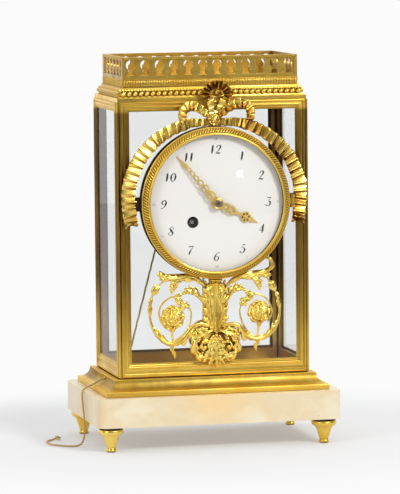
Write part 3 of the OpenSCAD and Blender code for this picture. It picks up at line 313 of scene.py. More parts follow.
class Paint(Nodes):
    """A material that is drawn with nodes."""

    def __init__(self, name, **constants):
        self.material = bpy.data.materials.new(name)
        self.material.use_nodes = True
        super().__init__(self.material.node_tree)
        self.shader = self.tree.nodes["Principled BSDF"]
        self.set(**constants)

    def set(self, **values):
        for name, what in values.items():
            feed(self.tree, self.shader.inputs[name.replace("_", " ")], what)
        return self.material

    def surface(self, share, first, second):
        """Shows a mix of two shaders in place of the plain one."""
        both = self.node("ShaderNodeMixShader", i0=share, i1=first, i2=second)
        feed(self.tree, self.tree.nodes["Material Output"].inputs["Surface"], both)
        return self.material

    def where(self, scale=(1, 1, 1)):
        """Object coordinates, so that a pattern keeps its real size on every piece."""
        spot = self.node("ShaderNodeTexCoord", output="Object")
        return self.node("ShaderNodeMapping", Vector=spot, Scale=scale)

    def noise(self, spot, scale, detail=3.0, rough=0.5):
        return self.node("ShaderNodeTexNoise", Vector=spot, Scale=scale, Detail=detail,
            Roughness=rough)

    def mix(self, share, a, b):
        return self.node("ShaderNodeMix", {"data_type": "RGBA"}, output=2, i0=share, i6=a, i7=b)

    def bump(self, height, depth):
        """Relief of the given depth in metres."""
        return self.node("ShaderNodeBump", Height=height, Distance=depth, Strength=1.0)


# %% [markdown]
# Fire gilding is gold brushed on bronze and burnished in places. It is a true metal colour that
# wanders between lemon and brown gold and is rougher where it wasn't burnished. Its hollows are
# browned by an occlusion mask. That browning is partly the patina that gilding keeps there and
# partly painted shade in recesses and folds. One function makes all its kinds, and its other brown
# marks are painted shade: a band option browns a stretch of height, given by `span`, and more so
# towards the back, `turned` darkens the bezel round its rope and at the back of its rim, `left`
# browns faces that look left, and `steep` browns the flanks of pleats.

# %% Gilt and brass
def gilt(name, light, deep, patina_and_shade, rough=0.2, grain=0.006, hollow=0.75, cloud=28.0, shade_band=0.0,
        span=(0.066, 0.165, 0.3125, 0.308), near=2.2, shade=(0.75, 0.15), turned=False, left=0.0,
        steep=0.0):
    paint = Paint(name, Metallic=1.0)
    spot = paint.where()
    clouds = paint.ramp(paint.noise(spot, cloud, 4.0, 0.62), 0.36, 0.68)
    specks = paint.ramp(paint.noise(spot, 420.0, 3.0, 0.6), 0.55, 0.8)
    fine = paint.noise(spot, 2600.0, 2.0)
    tone = paint.mix(specks * 0.12, paint.mix(clouds, light, deep), patina_and_shade)
    # Painted shade: a stretch of height, set by span, is browned with streaks, more so towards the
    # back.
    if shade_band:
        height = paint.axis(spot, 2)
        upright = paint.ramp(height, *span[:2]) * paint.ramp(height, *span[2:])
        streak = paint.noise(paint.where((1, 1, 0.12)), 150.0)
        rear = paint.ramp(paint.axis(spot, 1), 0.0, 0.03)
        tone = paint.mix(upright * (streak * 0.5 + rear * 0.22 + shade_band - 0.25), tone,
            (0.13, 0.062, 0.016))
    # Painted shade round the bezel's rope and at the back of its rim.
    if turned:
        out = paint.distance(paint.where((1, 0, 1)), (0, 0, 0.226))
        under_rope = paint.ramp(out, 0.0648, 0.0653) * paint.ramp(out, 0.0695, 0.0690)
        wall = paint.ramp(paint.axis(spot, 1), -0.0612, -0.0603)
        tone = paint.mix((under_rope + wall).math("MINIMUM", 1.0) * 0.7, tone, patina_and_shade)
    normal = paint.node("ShaderNodeNewGeometry", output="Normal")
    # Painted shade on faces that look left.
    if left:
        tone = paint.mix(paint.ramp(paint.axis(normal, 0), -0.6, -0.95) * left, tone, patina_and_shade)
    # Painted shade on the flanks of pleats.
    if steep:
        flank = paint.ramp(paint.axis(normal, 1).math("ABSOLUTE"), 0.95, 0.74)
        tone = paint.mix(flank * steep, tone, patina_and_shade)
    # Occlusion browns the hollows: partly patina, partly painted shade in recesses and folds.
    recess = paint.node("ShaderNodeAmbientOcclusion", {"samples": 12}, output="AO",
        Distance=near * MM)
    tone = paint.mix(paint.ramp(recess, *shade) * hollow, tone, patina_and_shade)
    return paint.set(Base_Color=tone,
        Roughness=clouds * 0.1 + specks * 0.06 + fine * 0.06 + (rough - 0.02),
        Normal=paint.bump(fine * 0.4 + specks * 0.6, grain * MM))


LEMON, BROWN = (0.93, 0.66, 0.14), (0.82, 0.52, 0.07)
PLEAT_LEMON, PLEAT_BROWN = (0.94, 0.68, 0.16), (0.82, 0.50, 0.07)
bright_gilt = gilt("bright gilt", LEMON, BROWN, (0.20, 0.095, 0.014), rough=0.26)
# The mounts' stronger, wider occlusion deepens the painted shade in their recesses.
mount_gilt = gilt("burnished mount gilt", (0.95, 0.69, 0.16), (0.84, 0.54, 0.08),
    (0.20, 0.09, 0.016), rough=0.24, hollow=0.85, near=2.6, shade=(0.92, 0.35))
hand_gilt = gilt("gilt hands", (0.93, 0.70, 0.23), (0.83, 0.56, 0.13), (0.36, 0.20, 0.06),
    rough=0.36, grain=0.003)
# The stile and base gilts carry a band of painted shade over part of their height.
stile_gilt = gilt("stile gilt with painted shade band", (0.84, 0.56, 0.10), (0.62, 0.37, 0.05), (0.11, 0.05, 0.012),
    rough=0.29, cloud=16.0, shade_band=0.72)
# The case and gallery gilts paint shade on faces that look left.
cast_gilt = gilt("brushed case gilt", (0.90, 0.64, 0.14), (0.80, 0.50, 0.07), (0.22, 0.11, 0.016),
    rough=0.32, cloud=20.0, left=0.45)
base_gilt = gilt("base gilt", (0.88, 0.61, 0.12), (0.76, 0.47, 0.06), (0.20, 0.10, 0.014),
    rough=0.40, cloud=20.0, shade_band=0.47, span=(0.0553, 0.0575, 0.0652, 0.0640))
gallery_gilt = gilt("gallery gilt", (0.74, 0.51, 0.11), (0.50, 0.31, 0.05), (0.13, 0.062, 0.012),
    rough=0.30, cloud=40.0, hollow=0.9, near=4.5, left=0.35)
# The ribbon and bow gilts paint shade into their folds and on their pleats' flanks.
ribbon_gilt = gilt("ribbon gilt", PLEAT_LEMON, PLEAT_BROWN, (0.26, 0.095, 0.013), rough=0.24,
    hollow=0.85, near=6.0, shade=(0.98, 0.66), steep=0.7)
bow_gilt = gilt("bow gilt", PLEAT_LEMON, PLEAT_BROWN, (0.22, 0.085, 0.012), rough=0.24,
    hollow=0.8, near=3.0, shade=(0.88, 0.35), steep=0.5)
bezel_gilt = gilt("bezel gilt", LEMON, BROWN, (0.14, 0.065, 0.012), rough=0.26, turned=True)
shaded_gilt = gilt("shaded gilt", (0.16, 0.075, 0.03), (0.10, 0.045, 0.018), (0.05, 0.02, 0.01),
    rough=0.4)
floor_brass = gilt("aged floor brass", (0.38, 0.27, 0.11), (0.20, 0.13, 0.055),
    (0.10, 0.06, 0.03), rough=0.3, cloud=40.0)
movement_brass = gilt("lacquered movement brass", (0.82, 0.60, 0.26), (0.74, 0.50, 0.19),
    (0.30, 0.19, 0.07), rough=0.22)
bell_metal = gilt("turned bell metal", (0.72, 0.56, 0.32), (0.60, 0.45, 0.24),
    (0.25, 0.17, 0.08), rough=0.26)
print("metals:", len(bpy.data.materials))

# %% [markdown]
# Steel parts are grey where they are polished and nearly black where they were darkened. The same
# brushed grain serves both, stretched along one way. The nearly black steel also makes the disc
# that paints the shade behind the hour hand's rosette.

# %% Steel
def steel(name, light, dark, rough):
    paint = Paint(name, Metallic=1.0)
    brushed = paint.noise(paint.where((1, 1, 14)), 260.0)
    stain = paint.ramp(paint.noise(paint.where(), 90.0), 0.4, 0.75)
    return paint.set(Base_Color=paint.mix(stain, light, dark),
        Roughness=brushed * 0.16 + stain * 0.08 + (rough - 0.08),
        Normal=paint.bump(brushed, 0.006 * MM))


bright_steel = steel("polished steel", (0.56, 0.57, 0.60), (0.40, 0.39, 0.39), 0.22)
blue_steel = steel("blued steel", (0.06, 0.10, 0.30), (0.05, 0.06, 0.16), 0.24)
dark_steel = steel("darkened steel", (0.085, 0.07, 0.055), (0.04, 0.033, 0.028), 0.4)

# %% [markdown]
# The plinth is a warm marble with soft amber clouds, a stain in the middle of its front and a few
# thin veins. The veins are the narrow band where a warped noise passes its middle value.

# %% Marble, enamel and the black washers
def marble():
    paint = Paint("warm veined marble", Roughness=0.3, Specular_IOR_Level=0.4, Coat_Weight=0.15,
        Coat_Roughness=0.2)
    spot = paint.where((1, 1.2, 1.6))
    bent = paint.node("ShaderNodeMixRGB", {"blend_type": "ADD"}, Fac=0.09, Color1=spot,
        Color2=paint.node("ShaderNodeTexNoise", output="Color", Vector=spot, Scale=14.0))
    milky = paint.noise(bent, 21.0, 5.0, 0.6)
    milk = paint.ramp(milky, 0.40, 0.66)
    stain = paint.ramp(paint.distance(spot, (-0.004, -0.091, 0.078)), 0.052, 0.010)
    left_end = paint.ramp(paint.axis(spot, 0), -0.098, -0.116)
    amber = (paint.ramp(paint.noise(spot, 7.0, 4.0, 0.6), 0.56, 0.80) * 0.2 + left_end * 0.25
        + stain * (paint.ramp(milky, 0.30, 0.55) * 0.35 + 0.6))
    line = paint.noise(bent, 15.0, 6.0, 0.55)
    vein = 1.0 - paint.ramp((line - 0.5).math("ABSOLUTE"), 0.0, 0.016)
    pits = paint.ramp(paint.noise(spot, 260.0, 2.0), 0.74, 0.80)
    tone = paint.mix(milk, (0.74, 0.61, 0.39), (0.79, 0.70, 0.50))
    for share, colour in ((amber * 0.8, (0.84, 0.58, 0.26)), (vein * 0.14, (0.66, 0.52, 0.36)),
            (pits * 0.5, (0.45, 0.36, 0.26))):
        tone = paint.mix(share, tone, colour)
    return paint.set(Base_Color=tone, Normal=paint.bump(milk * 0.3 - pits, 0.03 * MM))


def enamel():
    paint = Paint("fired enamel", Roughness=0.34, Specular_IOR_Level=0.4)
    faint = paint.noise(paint.where(), 18.0)
    dust = paint.ramp(paint.noise(paint.where(), 330.0, 3.0, 0.7), 0.70, 0.78)
    tone = paint.mix(faint, (0.84, 0.82, 0.80), (0.88, 0.86, 0.84))
    return paint.set(Base_Color=paint.mix(dust * 0.25, tone, (0.55, 0.52, 0.48)),
        Normal=paint.bump(faint, 0.02 * MM))


def matt_black(name, colour, rough):
    paint = Paint(name)
    fine = paint.noise(paint.where(), 700.0)
    return paint.set(Base_Color=paint.mix(fine, colour, tuple(2.2 * c for c in colour)),
        Roughness=fine * 0.2 + rough, Normal=paint.bump(fine, 0.01 * MM))


plinth_marble, dial_enamel = marble(), enamel()
washer_black = matt_black("black washer", (0.012, 0.011, 0.010), 0.5)
dial_black = matt_black("dial paint", (0.010, 0.010, 0.012), 0.25)
worn_black = matt_black("worn dial paint", (0.20, 0.20, 0.21), 0.3)

# %% [markdown]
# A pane hides nothing: most light goes straight on, a little is lost in each face, and a thin
# reflection lies over it that grows towards grazing views. A Mix Shader driven by Fresnel says so,
# and it lets the lamps light what stands behind the glass.

# %% Glass
def clear_glass(name, tint, shine):
    paint = Paint(name)
    paint.tree.nodes.remove(paint.shader)
    smear = paint.ramp(paint.noise(paint.where(), 35.0), 0.3, 0.8)
    outside = 1.0 - paint.node("ShaderNodeNewGeometry", output="Backfacing")
    share = paint.node("ShaderNodeFresnel", IOR=1.45) * outside * shine + smear * 0.006
    return paint.surface(share, paint.node("ShaderNodeBsdfTransparent", Color=tint),
        paint.node("ShaderNodeBsdfGlossy", Roughness=0.02))


pane_glass = clear_glass("window pane", (0.962, 0.968, 0.966), 1.0)
lens_glass = clear_glass("dial glass", (0.985, 0.985, 0.98), 0.8)

# %% [markdown]
# The repeat cord is a limp twisted silk cord, 2 mm thick and 143 mm long from the bush to its knot.
# It leaves the left side of the base, hangs over the plinth's edge and lies on the table. Its three
# strands are one tube whose round section has three lobes that turn as it goes. The turn is kept as
# a UV map, so that the colour follows the strands: gold on their crests and dark painted shade in
# the grooves between them.

# %% Cord: the free stretch with its knot, and the taut stretch inside
CORD_R, CORD_Y, CORD_Z = 1.0, -13.2, 61.7
free_route = [(-95.2, CORD_Y, CORD_Z), (-98, -13.1, 61.5), (-101.5, -12.4, 59.8),
    (-106.4, -11.2, 56.7), (-111.6, -9.8, 54.2), (-115.9, -9.4, 51.1), (-117, -10.2, 46.2),
    (-117, -12.5, 38.4), (-117, -16.6, 29.6), (-117.1, -20.4, 22), (-117.6, -22.6, 14),
    (-118.8, -23.2, 7.2), (-121.6, -23.4, 2.7), (-126, -22.8, 1.2), (-131, -21.6, 1.1),
    (-136.5, -17.5, 1.1), (-142.5, -11, 1.1), (-146.6, -2, 1.1), (-147.2, 8, 1.1),
    (-144.4, 17, 1.1), (-139.6, 22.4, 1.1), (-135.6, 24.4, 2)]
inner_route = [(x, CORD_Y, z) for x, z in ((-27.5, 201.8), (-33.6, 203), (-39.4, 200.6),
    (-42.6, 195.3), (-76.2, 70), (-78, 64.6), (-80.6, 62.2), (-84, CORD_Z), (-90, CORD_Z),
    (-95.2, CORD_Z))]
KNOT_X, KNOT_Y, KNOT_Z = -134, 25.2, 2.6
end_routes = [[(-133.6, 24.4, 2.2), (-133.2, 22.6, 1.9), (-132.8, 20.4, 1.2)],
    [(-133.2, 26.2, 2.4), (-131.4, 28.4, 2.0), (-129.8, 30.4, 1.3)]]


def silk():
    paint = Paint("twisted silk", Specular_IOR_Level=0.3, Sheen_Weight=0.3)
    across = paint.axis(paint.node("ShaderNodeTexCoord", output="UV"), 0)
    ply = (across * 2.0).math("FRACT")
    thread = paint.noise(paint.where(), 1900.0, 2.0)
    # Painted shade: the grooves between the strands are dark, their crests gold.
    unshaded_crest = paint.ramp((ply - 0.5).math("ABSOLUTE"), 0.13, 0.27)
    tone = paint.mix(unshaded_crest, (0.07, 0.035, 0.012), (0.80, 0.54, 0.20))
    return paint.set(Base_Color=paint.mix(thread * 0.2, tone, (0.34, 0.20, 0.07)),
        Roughness=thread * 0.2 + 0.55, Normal=paint.bump(thread, 0.12 * MM))


silk_cord = silk()


def lengths(line):
    return np.linalg.norm(np.diff(line, axis=0), axis=1)


def rope(name, line, r=CORD_R, pitch=8.4, sides=18, lobe=0.28, **how):
    t = tangents(line)
    run = np.concatenate([[0], np.cumsum(lengths(line))])
    u = np.cross(t[0], (0.1, 1, 0.2))
    rings, turns = [], []
    for i in range(len(line)):
        u = u - (u @ t[i]) * t[i]
        u /= np.linalg.norm(u)
        v = np.cross(t[i], u)
        end = 0.55 + 0.45 * min(1.0, (i + 1) / 4, (len(line) - i) / 4)
        ring = []
        for a in around(sides):
            phase = 3 * (a - 2 * math.pi * run[i] / pitch)
            size = r * (1 - lobe * (0.5 - 0.5 * math.cos(phase))) * end
            ring.append(tuple(line[i] + size * (math.cos(a) * u + math.sin(a) * v)))
            turns.append((phase / (2 * math.pi) / 2, run[i] / 10))
        rings.append(ring)
    obj = piece(name, *loft(rings), silk_cord, sharp=180, **how)
    uv = obj.data.uv_layers.new(name="UVMap")
    for poly in obj.data.polygons:
        base = turns[min(obj.data.loops[poly.loop_start].vertex_index, len(turns) - 1)][0]
        for li in poly.loop_indices:
            p, q = turns[min(obj.data.loops[li].vertex_index, len(turns) - 1)]
            uv.data[li].uv = (p - (round(p - base) if abs(p - base) > 0.5 else 0), q)
    return obj


def knot_point(a):
    r = (1.0 + 0.55 * math.cos(3 * a)) * 1.15
    return (KNOT_X + r * math.cos(2 * a), KNOT_Y + r * math.sin(2 * a),
        KNOT_Z + 0.85 * math.sin(3 * a) - 0.2)


free_line = spline(free_route, 420)
free_cord = rope("free_cord_twisted", free_line, nodes=["free_cord"])
rope("inner_cord_twisted", spline(inner_route, 300), nodes=["inner_cord"])
knot_line = np.array([knot_point(a) for a in np.linspace(0, 1.94 * math.pi, 120)])
knot = rope("cord_knot_tied", knot_line, r=0.95, nodes=["cord_knot"])
stubs = [rope(f"cord_end_{i}", spline(e, 16), r=0.85) for i, e in enumerate(end_routes)]

# %% [markdown]
# Many parts already have the right shape in CAD: plates, posts, wheels and arbors. Each is copied,
# its loose triangles are merged and flat faces joined, and a fine bevel eases its edges. The copy
# stands for the CAD node, and gets the finish of the real part. Panes keep their CAD mesh.

# %% CAD shapes with eased edges
def dressed(node, finish, bevel):
    cad = frame["nodes"][node]
    bm = opened(cad.data)
    bmesh.ops.remove_doubles(bm, verts=bm.verts, dist=2e-6)
    bmesh.ops.dissolve_limit(bm, angle_limit=math.radians(0.4), verts=bm.verts, edges=bm.edges)
    place(node + "_eased", written(bm, node + "_eased", outward=False), finish,
        body=cad["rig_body"], nodes=[node], bevel=bevel)


plain_parts = {
    "foot_washers": (washer_black, 0.2), "foot_bolts": (bright_steel, 0.15),
    "cord_bush": (bright_gilt, 0.1), "cage_floor": (floor_brass, 0.2),
    "corner_posts": (stile_gilt, 0.12), "rear_door_pins": (bright_steel, 0.1),
    "roof_plate": (bright_gilt, 0.3), "dial_plate": (dark_steel, 0.2),
    "bezel_hinge_pin": (bright_steel, 0.1), "front_plate": (movement_brass, 0.15),
    "back_plate": (movement_brass, 0.15), "plate_pillars": (movement_brass, 0.15),
    "mainspring_barrel": (movement_brass, 0.08), "winding_arbor": (bright_steel, 0.08),
    "click": (blue_steel, 0.08), "centre_wheel": (movement_brass, 0.05),
    "third_wheel": (movement_brass, 0.05), "escape_wheel": (movement_brass, 0.05),
    "anchor": (bright_steel, 0.08), "suspension_cock": (movement_brass, 0.15),
    "pendulum_rod": (bright_steel, 0.06), "pendulum_bob": (movement_brass, 0.2),
    "minute_wheel": (movement_brass, 0.05), "hour_wheel": (movement_brass, 0.05),
    "repeat_pulley": (movement_brass, 0.08), "hammer": (bright_steel, 0.08),
    "bell": (bell_metal, 0.1), "hand_collet": (bright_steel, 0.1),
    "marble_plinth": (plinth_marble, 0.7)}
for node, (finish, bevel) in plain_parts.items():
    dressed(node, finish, bevel)
for node in ("front_glass", "left_glass", "right_glass", "rear_door_glass"):
    pane = frame["nodes"][node]
    pane.data.materials.clear()
    pane.data.materials.append(pane_glass)
print("eased CAD parts:", len(plain_parts))

# %% [markdown]
# The case is measured in layers. The same numbers as in the CAD source are named here once, in
# millimetres from the table and from the middle of the case, and every piece below uses them.

# %% Sizes of the case
CAGE_X, CAGE_Y, SKEW = 91.05, 51.55, 39.5
Z_BASE, Z_CAGE, Z_ROOF, Z_CORNICE = 50.3, 66.4, 319, 323
Z_BAND, Z_GALLERY, Z_TOP = 332.5, 339.5, 360
NOTCH, STILE, RAIL_LOW, RAIL_TOP, FRAME_T, LIP_T, PANE_LAP = 3.65, 9.2, 12.9, 8.5, 5.5, 2.4, 2.15
OPEN_X, OPEN_Y = CAGE_X - NOTCH - STILE, CAGE_Y - NOTCH - STILE
Z_OPEN, Z_OPEN_TOP = Z_CAGE + RAIL_LOW, Z_ROOF - RAIL_TOP
Y_DIAL, Z_DIAL = -54.55, 226.0
DIAL = (0, Y_DIAL, Z_DIAL)
EASE = 0.2


def corner_ring(x, front, rear, z, steps=2):
    """A level rectangle with slightly eased corners: half width x, from y = front to y = rear."""
    return [(sx * (x - EASE) + EASE * math.cos(a), y - sy * EASE + EASE * math.sin(a), z)
        for sx, sy, y, first in ((1, 1, rear, 0), (-1, 1, rear, 90), (-1, -1, front, 180),
            (1, -1, front, 270))
        for a in (math.radians(first + 90 * k / steps) for k in range(steps + 1))]


def moulding(half, profile, front=None):
    """Mitred moulding round the case: profile rows are (out past half, height)."""
    return [corner_ring(half + out, -(half - SKEW + face), half - SKEW + out, z)
        for (out, z), (face, _) in zip(profile, front or profile)]


# %% [markdown]
# The base is one wide hollow moulding over a straight fillet. A loft of eased rectangles gives it
# true mitred corners, and the hollow gets many rings, because its slow curve makes the long soft
# reflections of the real one. A boolean cuts the hole for the cord.

# %% Base moulding
def bored(mesh, spot, r, length, axis):
    """Cuts a round hole through a mesh."""
    tool = in_scene("drill", mesh_of("drill", *lathe([(r, 0), (r, length)], 32)))
    tool.matrix_world = (Matrix.Translation(Vector(spot) * MM)
        @ Vector(axis).to_track_quat("Z", "Y").to_matrix().to_4x4())
    done = applied(mesh, ("BOOLEAN", {"operation": "DIFFERENCE", "object": tool,
        "solver": "EXACT"}))
    bpy.data.objects.remove(tool)
    return done


hollow = [(4.45 + 9.5 * (1 - math.cos(t)), 64.5 - 9.2 * math.sin(t))
    for t in np.linspace(math.pi / 2, 0, 15)]
base_rows = [(-10, 63.4), (-10, Z_BASE), (14.1, Z_BASE), (14.45, Z_BASE + 0.35), (14.45, 54.6),
    (14.35, 55.0), (14.15, 55.25), *hollow, (4.45, 65.0), (4.15, 65.3), (-2.8, 65.3), (-2.8, 63.4)]
base_mesh = mesh_of("base_moulding_run", *loft(moulding(CAGE_X, base_rows), closed=True))
base_mesh = bored(base_mesh, (-99, CORD_Y, CORD_Z), 2.35, 24, (1, 0, 0))
place("base_moulding_run", base_mesh, base_gilt, nodes=["base_moulding"])
print("base moulding faces:", len(base_mesh.polygons))

# %% [markdown]
# A foot is turned: a ring under the black washer, a shoulder, a long taper and a small bead that
# stands on the table. A lathe profile says this in one list, and four copies make one piece.

# %% Feet
FOOT_X, FOOT_Y = 100.9, 61.4
foot_rows = [(0, 12.5), (2.55, 12.5), (2.55, 21.9), (10.1, 21.9),
    *arc(10.3, 19.4, 1.45, 2.1, 80, -50, 8), (10.7, 17.2), (10.3, 16.7), (9.3, 16.4), (9.1, 15.9),
    (8.0, 15.6), (7.7, 15.0), (7.5, 14.5), (7.35, 14.0),
    *((7.3 - 3.0 * t ** 0.9, 14.0 - 9.6 * t) for t in np.linspace(0.08, 1, 9)),
    *arc(3.75, 3.75, 0.55, 0.5, 60, -60, 4), *arc(3.75, 1.9, 1.05, 1.1, 70, -50, 6), (4.0, 0.15),
    (3.6, 0), (0, 0)]
feet = merged(lathe(foot_rows, 72, (sx * FOOT_X, sy * FOOT_Y, 0)) for sx in (-1, 1)
    for sy in (-1, 1))
piece("feet_turned", *feet, mount_gilt, nodes=["feet"], sharp=40)

# %% [markdown]
# A window frame is a run of mouldings round the opening: a thin lip, a hollow, a bead, a second
# hollow and an outer bead. Each row of the profile gives how far it lies outside the opening at the
# stiles, below and above, and how deep it lies behind the cage's face, so all four mitres close.
# The rear door is the same window with a knob, and its two hinge leaves ride on it.

# %% Window frames
def even(out, depth):
    return (out, out, out, depth)


def frame_rows(gap):
    low, top = RAIL_LOW - gap, RAIL_TOP - gap
    flat = (7.0 - 5.3, low - 3.2 - 5.3, max(top - 2.2 - 5.3, 0.9))
    return [even(PANE_LAP, FRAME_T), even(PANE_LAP, 2.25), even(0, 2.25), even(0, 1.95),
        even(0.15, 1.8), even(1.15, 1.75), even(1.3, 1.9),
        *(even(1.4 + 1.5 * (1 - math.cos(t)), 1.9 - 0.95 * math.sin(t))
            for t in np.linspace(0, math.pi / 2, 6)),
        *(even(4.1 - 1.15 * math.cos(t), 1.0 - 0.75 * math.sin(t))
            for t in np.linspace(0, math.pi, 9)),
        *((*(5.3 + f * u for f in flat), 1.0 + 0.3 * math.sin(math.pi * u))
            for u in np.linspace(0.1, 0.9, 6)),
        *((8.1 - 1.1 * math.cos(t), low - 1.6 - 1.6 * math.cos(t), top - 1.1 - 1.1 * math.cos(t),
            0.85 - 0.85 * math.sin(t) ** 0.6) for t in np.linspace(0.08, math.pi - 0.1, 11)),
        (STILE, low, top, 1.0), (STILE, low, top, LIP_T), (6.25, low, top, LIP_T),
        (6.25, low, top, FRAME_T)]


def window(half, rows, put):
    return loft([[put(x, d, z) for x, z in ((half + s, Z_OPEN - l), (half + s, Z_OPEN_TOP + h),
        (-half - s, Z_OPEN_TOP + h), (-half - s, Z_OPEN - l))] for s, l, h, d in rows], closed=True)


for side, half, put in (("front", OPEN_X, lambda u, d, z: (u, d - CAGE_Y, z)),
        ("left", OPEN_Y, lambda u, d, z: (d - CAGE_X, -u, z)),
        ("right", OPEN_Y, lambda u, d, z: (CAGE_X - d, u, z))):
    piece(side + "_frame_run", *window(half, frame_rows(0), put), stile_gilt,
        nodes=[side + "_frame"])
KNOB_X, DOOR_HINGE = 82.8, (89.45, 53.55)
knob, turns = lathe([(0, 0.5), (1.5, 0.5), (1.5, 3.0), (2.4, 3.6), (3.3, 4.4), (3.4, 5.4),
    (3.0, 6.4), (2.2, 7.0), (0, 7.1)], 40)
knob = [(x - KNOB_X, z + CAGE_Y - 1, y + Z_DIAL) for x, y, z in knob]
rear = window(OPEN_X, frame_rows(0.3), lambda u, d, z: (-u, CAGE_Y - d, z))
piece("rear_frame_run", *merged([rear, (knob, turns)]), stile_gilt, body="rear_door",
    nodes=["rear_door_frame"])
leaves = []
for z in (Z_CAGE + 40, Z_ROOF - 40):
    leaves += [lathe([(0.85, -2.5), (1.75, -2.5), (1.9, -2.35), (1.9, 2.35), (1.75, 2.5),
        (0.85, 2.5)], 32, (*DOOR_HINGE, z)),
        bar(80.5, 88.4, CAGE_Y - 0.4, CAGE_Y + 0.8, z - 2.4, z + 2.4)]
piece("rear_hinge_leaves", *merged(leaves), bright_gilt, body="rear_door", bevel=0.1)

# %% [markdown]
# Pearls, leaf tips, reeds and the rope of the bezel all repeat one small shape. A Geometry Nodes
# tree does that: it lays points along a line or round a circle, puts the shape on each and makes
# the copies real. The result is turned into a plain mesh, so nothing live is left on the piece.

# %% Geometry Nodes for rows and rings
def repeat_tree(name, kinds):
    group = bpy.data.node_groups.new(name, "GeometryNodeTree")
    kinds = {"Shape": "Object", "Count": "Int", "Finish": "Material", **kinds}
    keys = {socket: group.interface.new_socket(name=socket, in_out="INPUT",
        socket_type="NodeSocket" + kind).identifier for socket, kind in kinds.items()}
    group.interface.new_socket(name="Copies", in_out="OUTPUT", socket_type="NodeSocketGeometry")
    tree, inputs = Nodes(group), group.nodes.new("NodeGroupInput").outputs
    given = {socket: Value(group, inputs[socket]) for socket in kinds}
    if "Radius" in kinds:
        spots = tree.node("GeometryNodeMeshCircle", Vertices=given["Count"],
            Radius=given["Radius"])
        share = tree.node("GeometryNodeInputIndex").math("DIVIDE", given["Count"])
        turn = {"Rotation": tree.node("ShaderNodeCombineXYZ", Z=share * (2 * math.pi))}
    else:
        spots = tree.node("GeometryNodeMeshLine", Count=given["Count"],
            Start_Location=given["Start"], Offset=given["Step"])
        turn = {}
    shape = tree.node("GeometryNodeObjectInfo", output="Geometry", Object=given["Shape"])
    copies = tree.node("GeometryNodeInstanceOnPoints", Points=spots, Instance=shape, **turn)
    real = tree.node("GeometryNodeRealizeInstances", Geometry=copies)
    coat = tree.node("GeometryNodeSetMaterial", Geometry=real, Material=given["Finish"])
    feed(group, group.nodes.new("NodeGroupOutput").inputs[0], coat)
    return group, keys


row_tree = repeat_tree("row of copies", {"Start": "Vector", "Step": "Vector"})
ring_tree = repeat_tree("ring of copies", {"Radius": "Float"})


def copies_of(shape, finish, tree, **values):
    """Runs a tree on a shape and returns the plain mesh of its copies."""
    group, keys = tree
    pattern = in_scene("pattern", mesh_of("pattern", *shape))
    sockets = {keys[name]: what for name, what in dict(values, Shape=pattern,
        Finish=finish).items()}
    mesh = applied(bpy.data.meshes.new("host"), ("NODES", {"node_group": group, **sockets}))
    bpy.data.objects.remove(pattern)
    return mesh


def row(shape, finish, start, step, count):
    return copies_of(shape, finish, row_tree, Count=count, Start=[c * MM for c in start],
        Step=[c * MM for c in step])


def joined(meshes):
    bm = bmesh.new()
    for mesh in meshes:
        bm.from_mesh(mesh)
    out = bpy.data.meshes.new("joined")
    bm.to_mesh(out)
    bm.free()
    return smooth(out)


def reed(width, depth, height, turned):
    """A half-round upright reed that faces -Y, turned about Z."""
    c, n = math.cos(turned), math.sin(turned)
    loops = []
    for z, s in ((0, 0.72), (height * 0.06, 1), (height * 0.94, 1), (height, 0.72)):
        ring = [(width / 2 * s * math.cos(a), -depth * s * math.sin(a))
            for a in np.linspace(math.pi, 0, 6)] + [(width / 2 * s, 0.25), (-width / 2 * s, 0.25)]
        loops.append([(x * c - y * n, x * n + y * c, z) for x, y in ring])
    return loft(loops)


# %% [markdown]
# The cornice carries a row of pearls on its front, with small leaf tips over them, and plain
# mouldings round its sides. The wall behind the pearls is set back, so that they stand free.

# %% Cornice with pearls and leaf tips
CORNICE_X, PEARL_R, PEARL_PITCH, PEARL_Z = 87.7, 2.35, 5.5, 326.5
half_round = arc(-PEARL_R, PEARL_Z, PEARL_R, PEARL_R, -75, 75, 12)
low_edge = [(-12, Z_CORNICE), (-2.6, Z_CORNICE), (-1.7, Z_CORNICE), (-1.6, Z_CORNICE + 0.2)]
high_edge = [(-1.75, 329.2), (-1.55, 329.5), (-1.6, 329.95),
    *arc(-1.7, 332.0, 2.4, 2.0, -90, -170, 6), (-4.1, 332.1), (-4.1, Z_BAND), (-12, Z_BAND)]
set_back = [(-2.0, half_round[0][1]), *((-3.3, z) for _, z in half_round[1:-1]), (-2.2, 328.8)]
piece("cornice_run", *loft(moulding(CORNICE_X, low_edge + half_round + high_edge,
    low_edge + set_back + high_edge), closed=True), cast_gilt, nodes=["cornice"])
pearl_count = 2 * int((CORNICE_X - 3) / PEARL_PITCH) + 1
first = -(pearl_count - 1) / 2 * PEARL_PITCH
place("cornice_pearls", row(bead(2.5, 2.3, 2.4, lean=0.32), mount_gilt, (first, -46.1, PEARL_Z),
    (PEARL_PITCH, 0, 0), pearl_count), mount_gilt)
tip = loft([[(s * math.cos(a), -0.9 * s * math.sin(a) * (1 if math.sin(a) > 0 else 0.3), z)
    for a in around(10)]
    for z, s in ((0, 0.06), (0.9, 0.75), (1.9, 1.15), (2.6, 0.95), (3.0, 0.4))])
place("cornice_leaf_tips", row(tip, mount_gilt, (first - PEARL_PITCH / 2, -46.3, 328.1),
    (PEARL_PITCH / 2, 0, 0), 2 * pearl_count + 1), mount_gilt)
print("pearls:", pearl_count)

# %% [markdown]
# The milled band is reeded all round. Its reeds are 1.3 mm wide, so they are real geometry and
# not bump: they make the fine comb of light under the gallery.

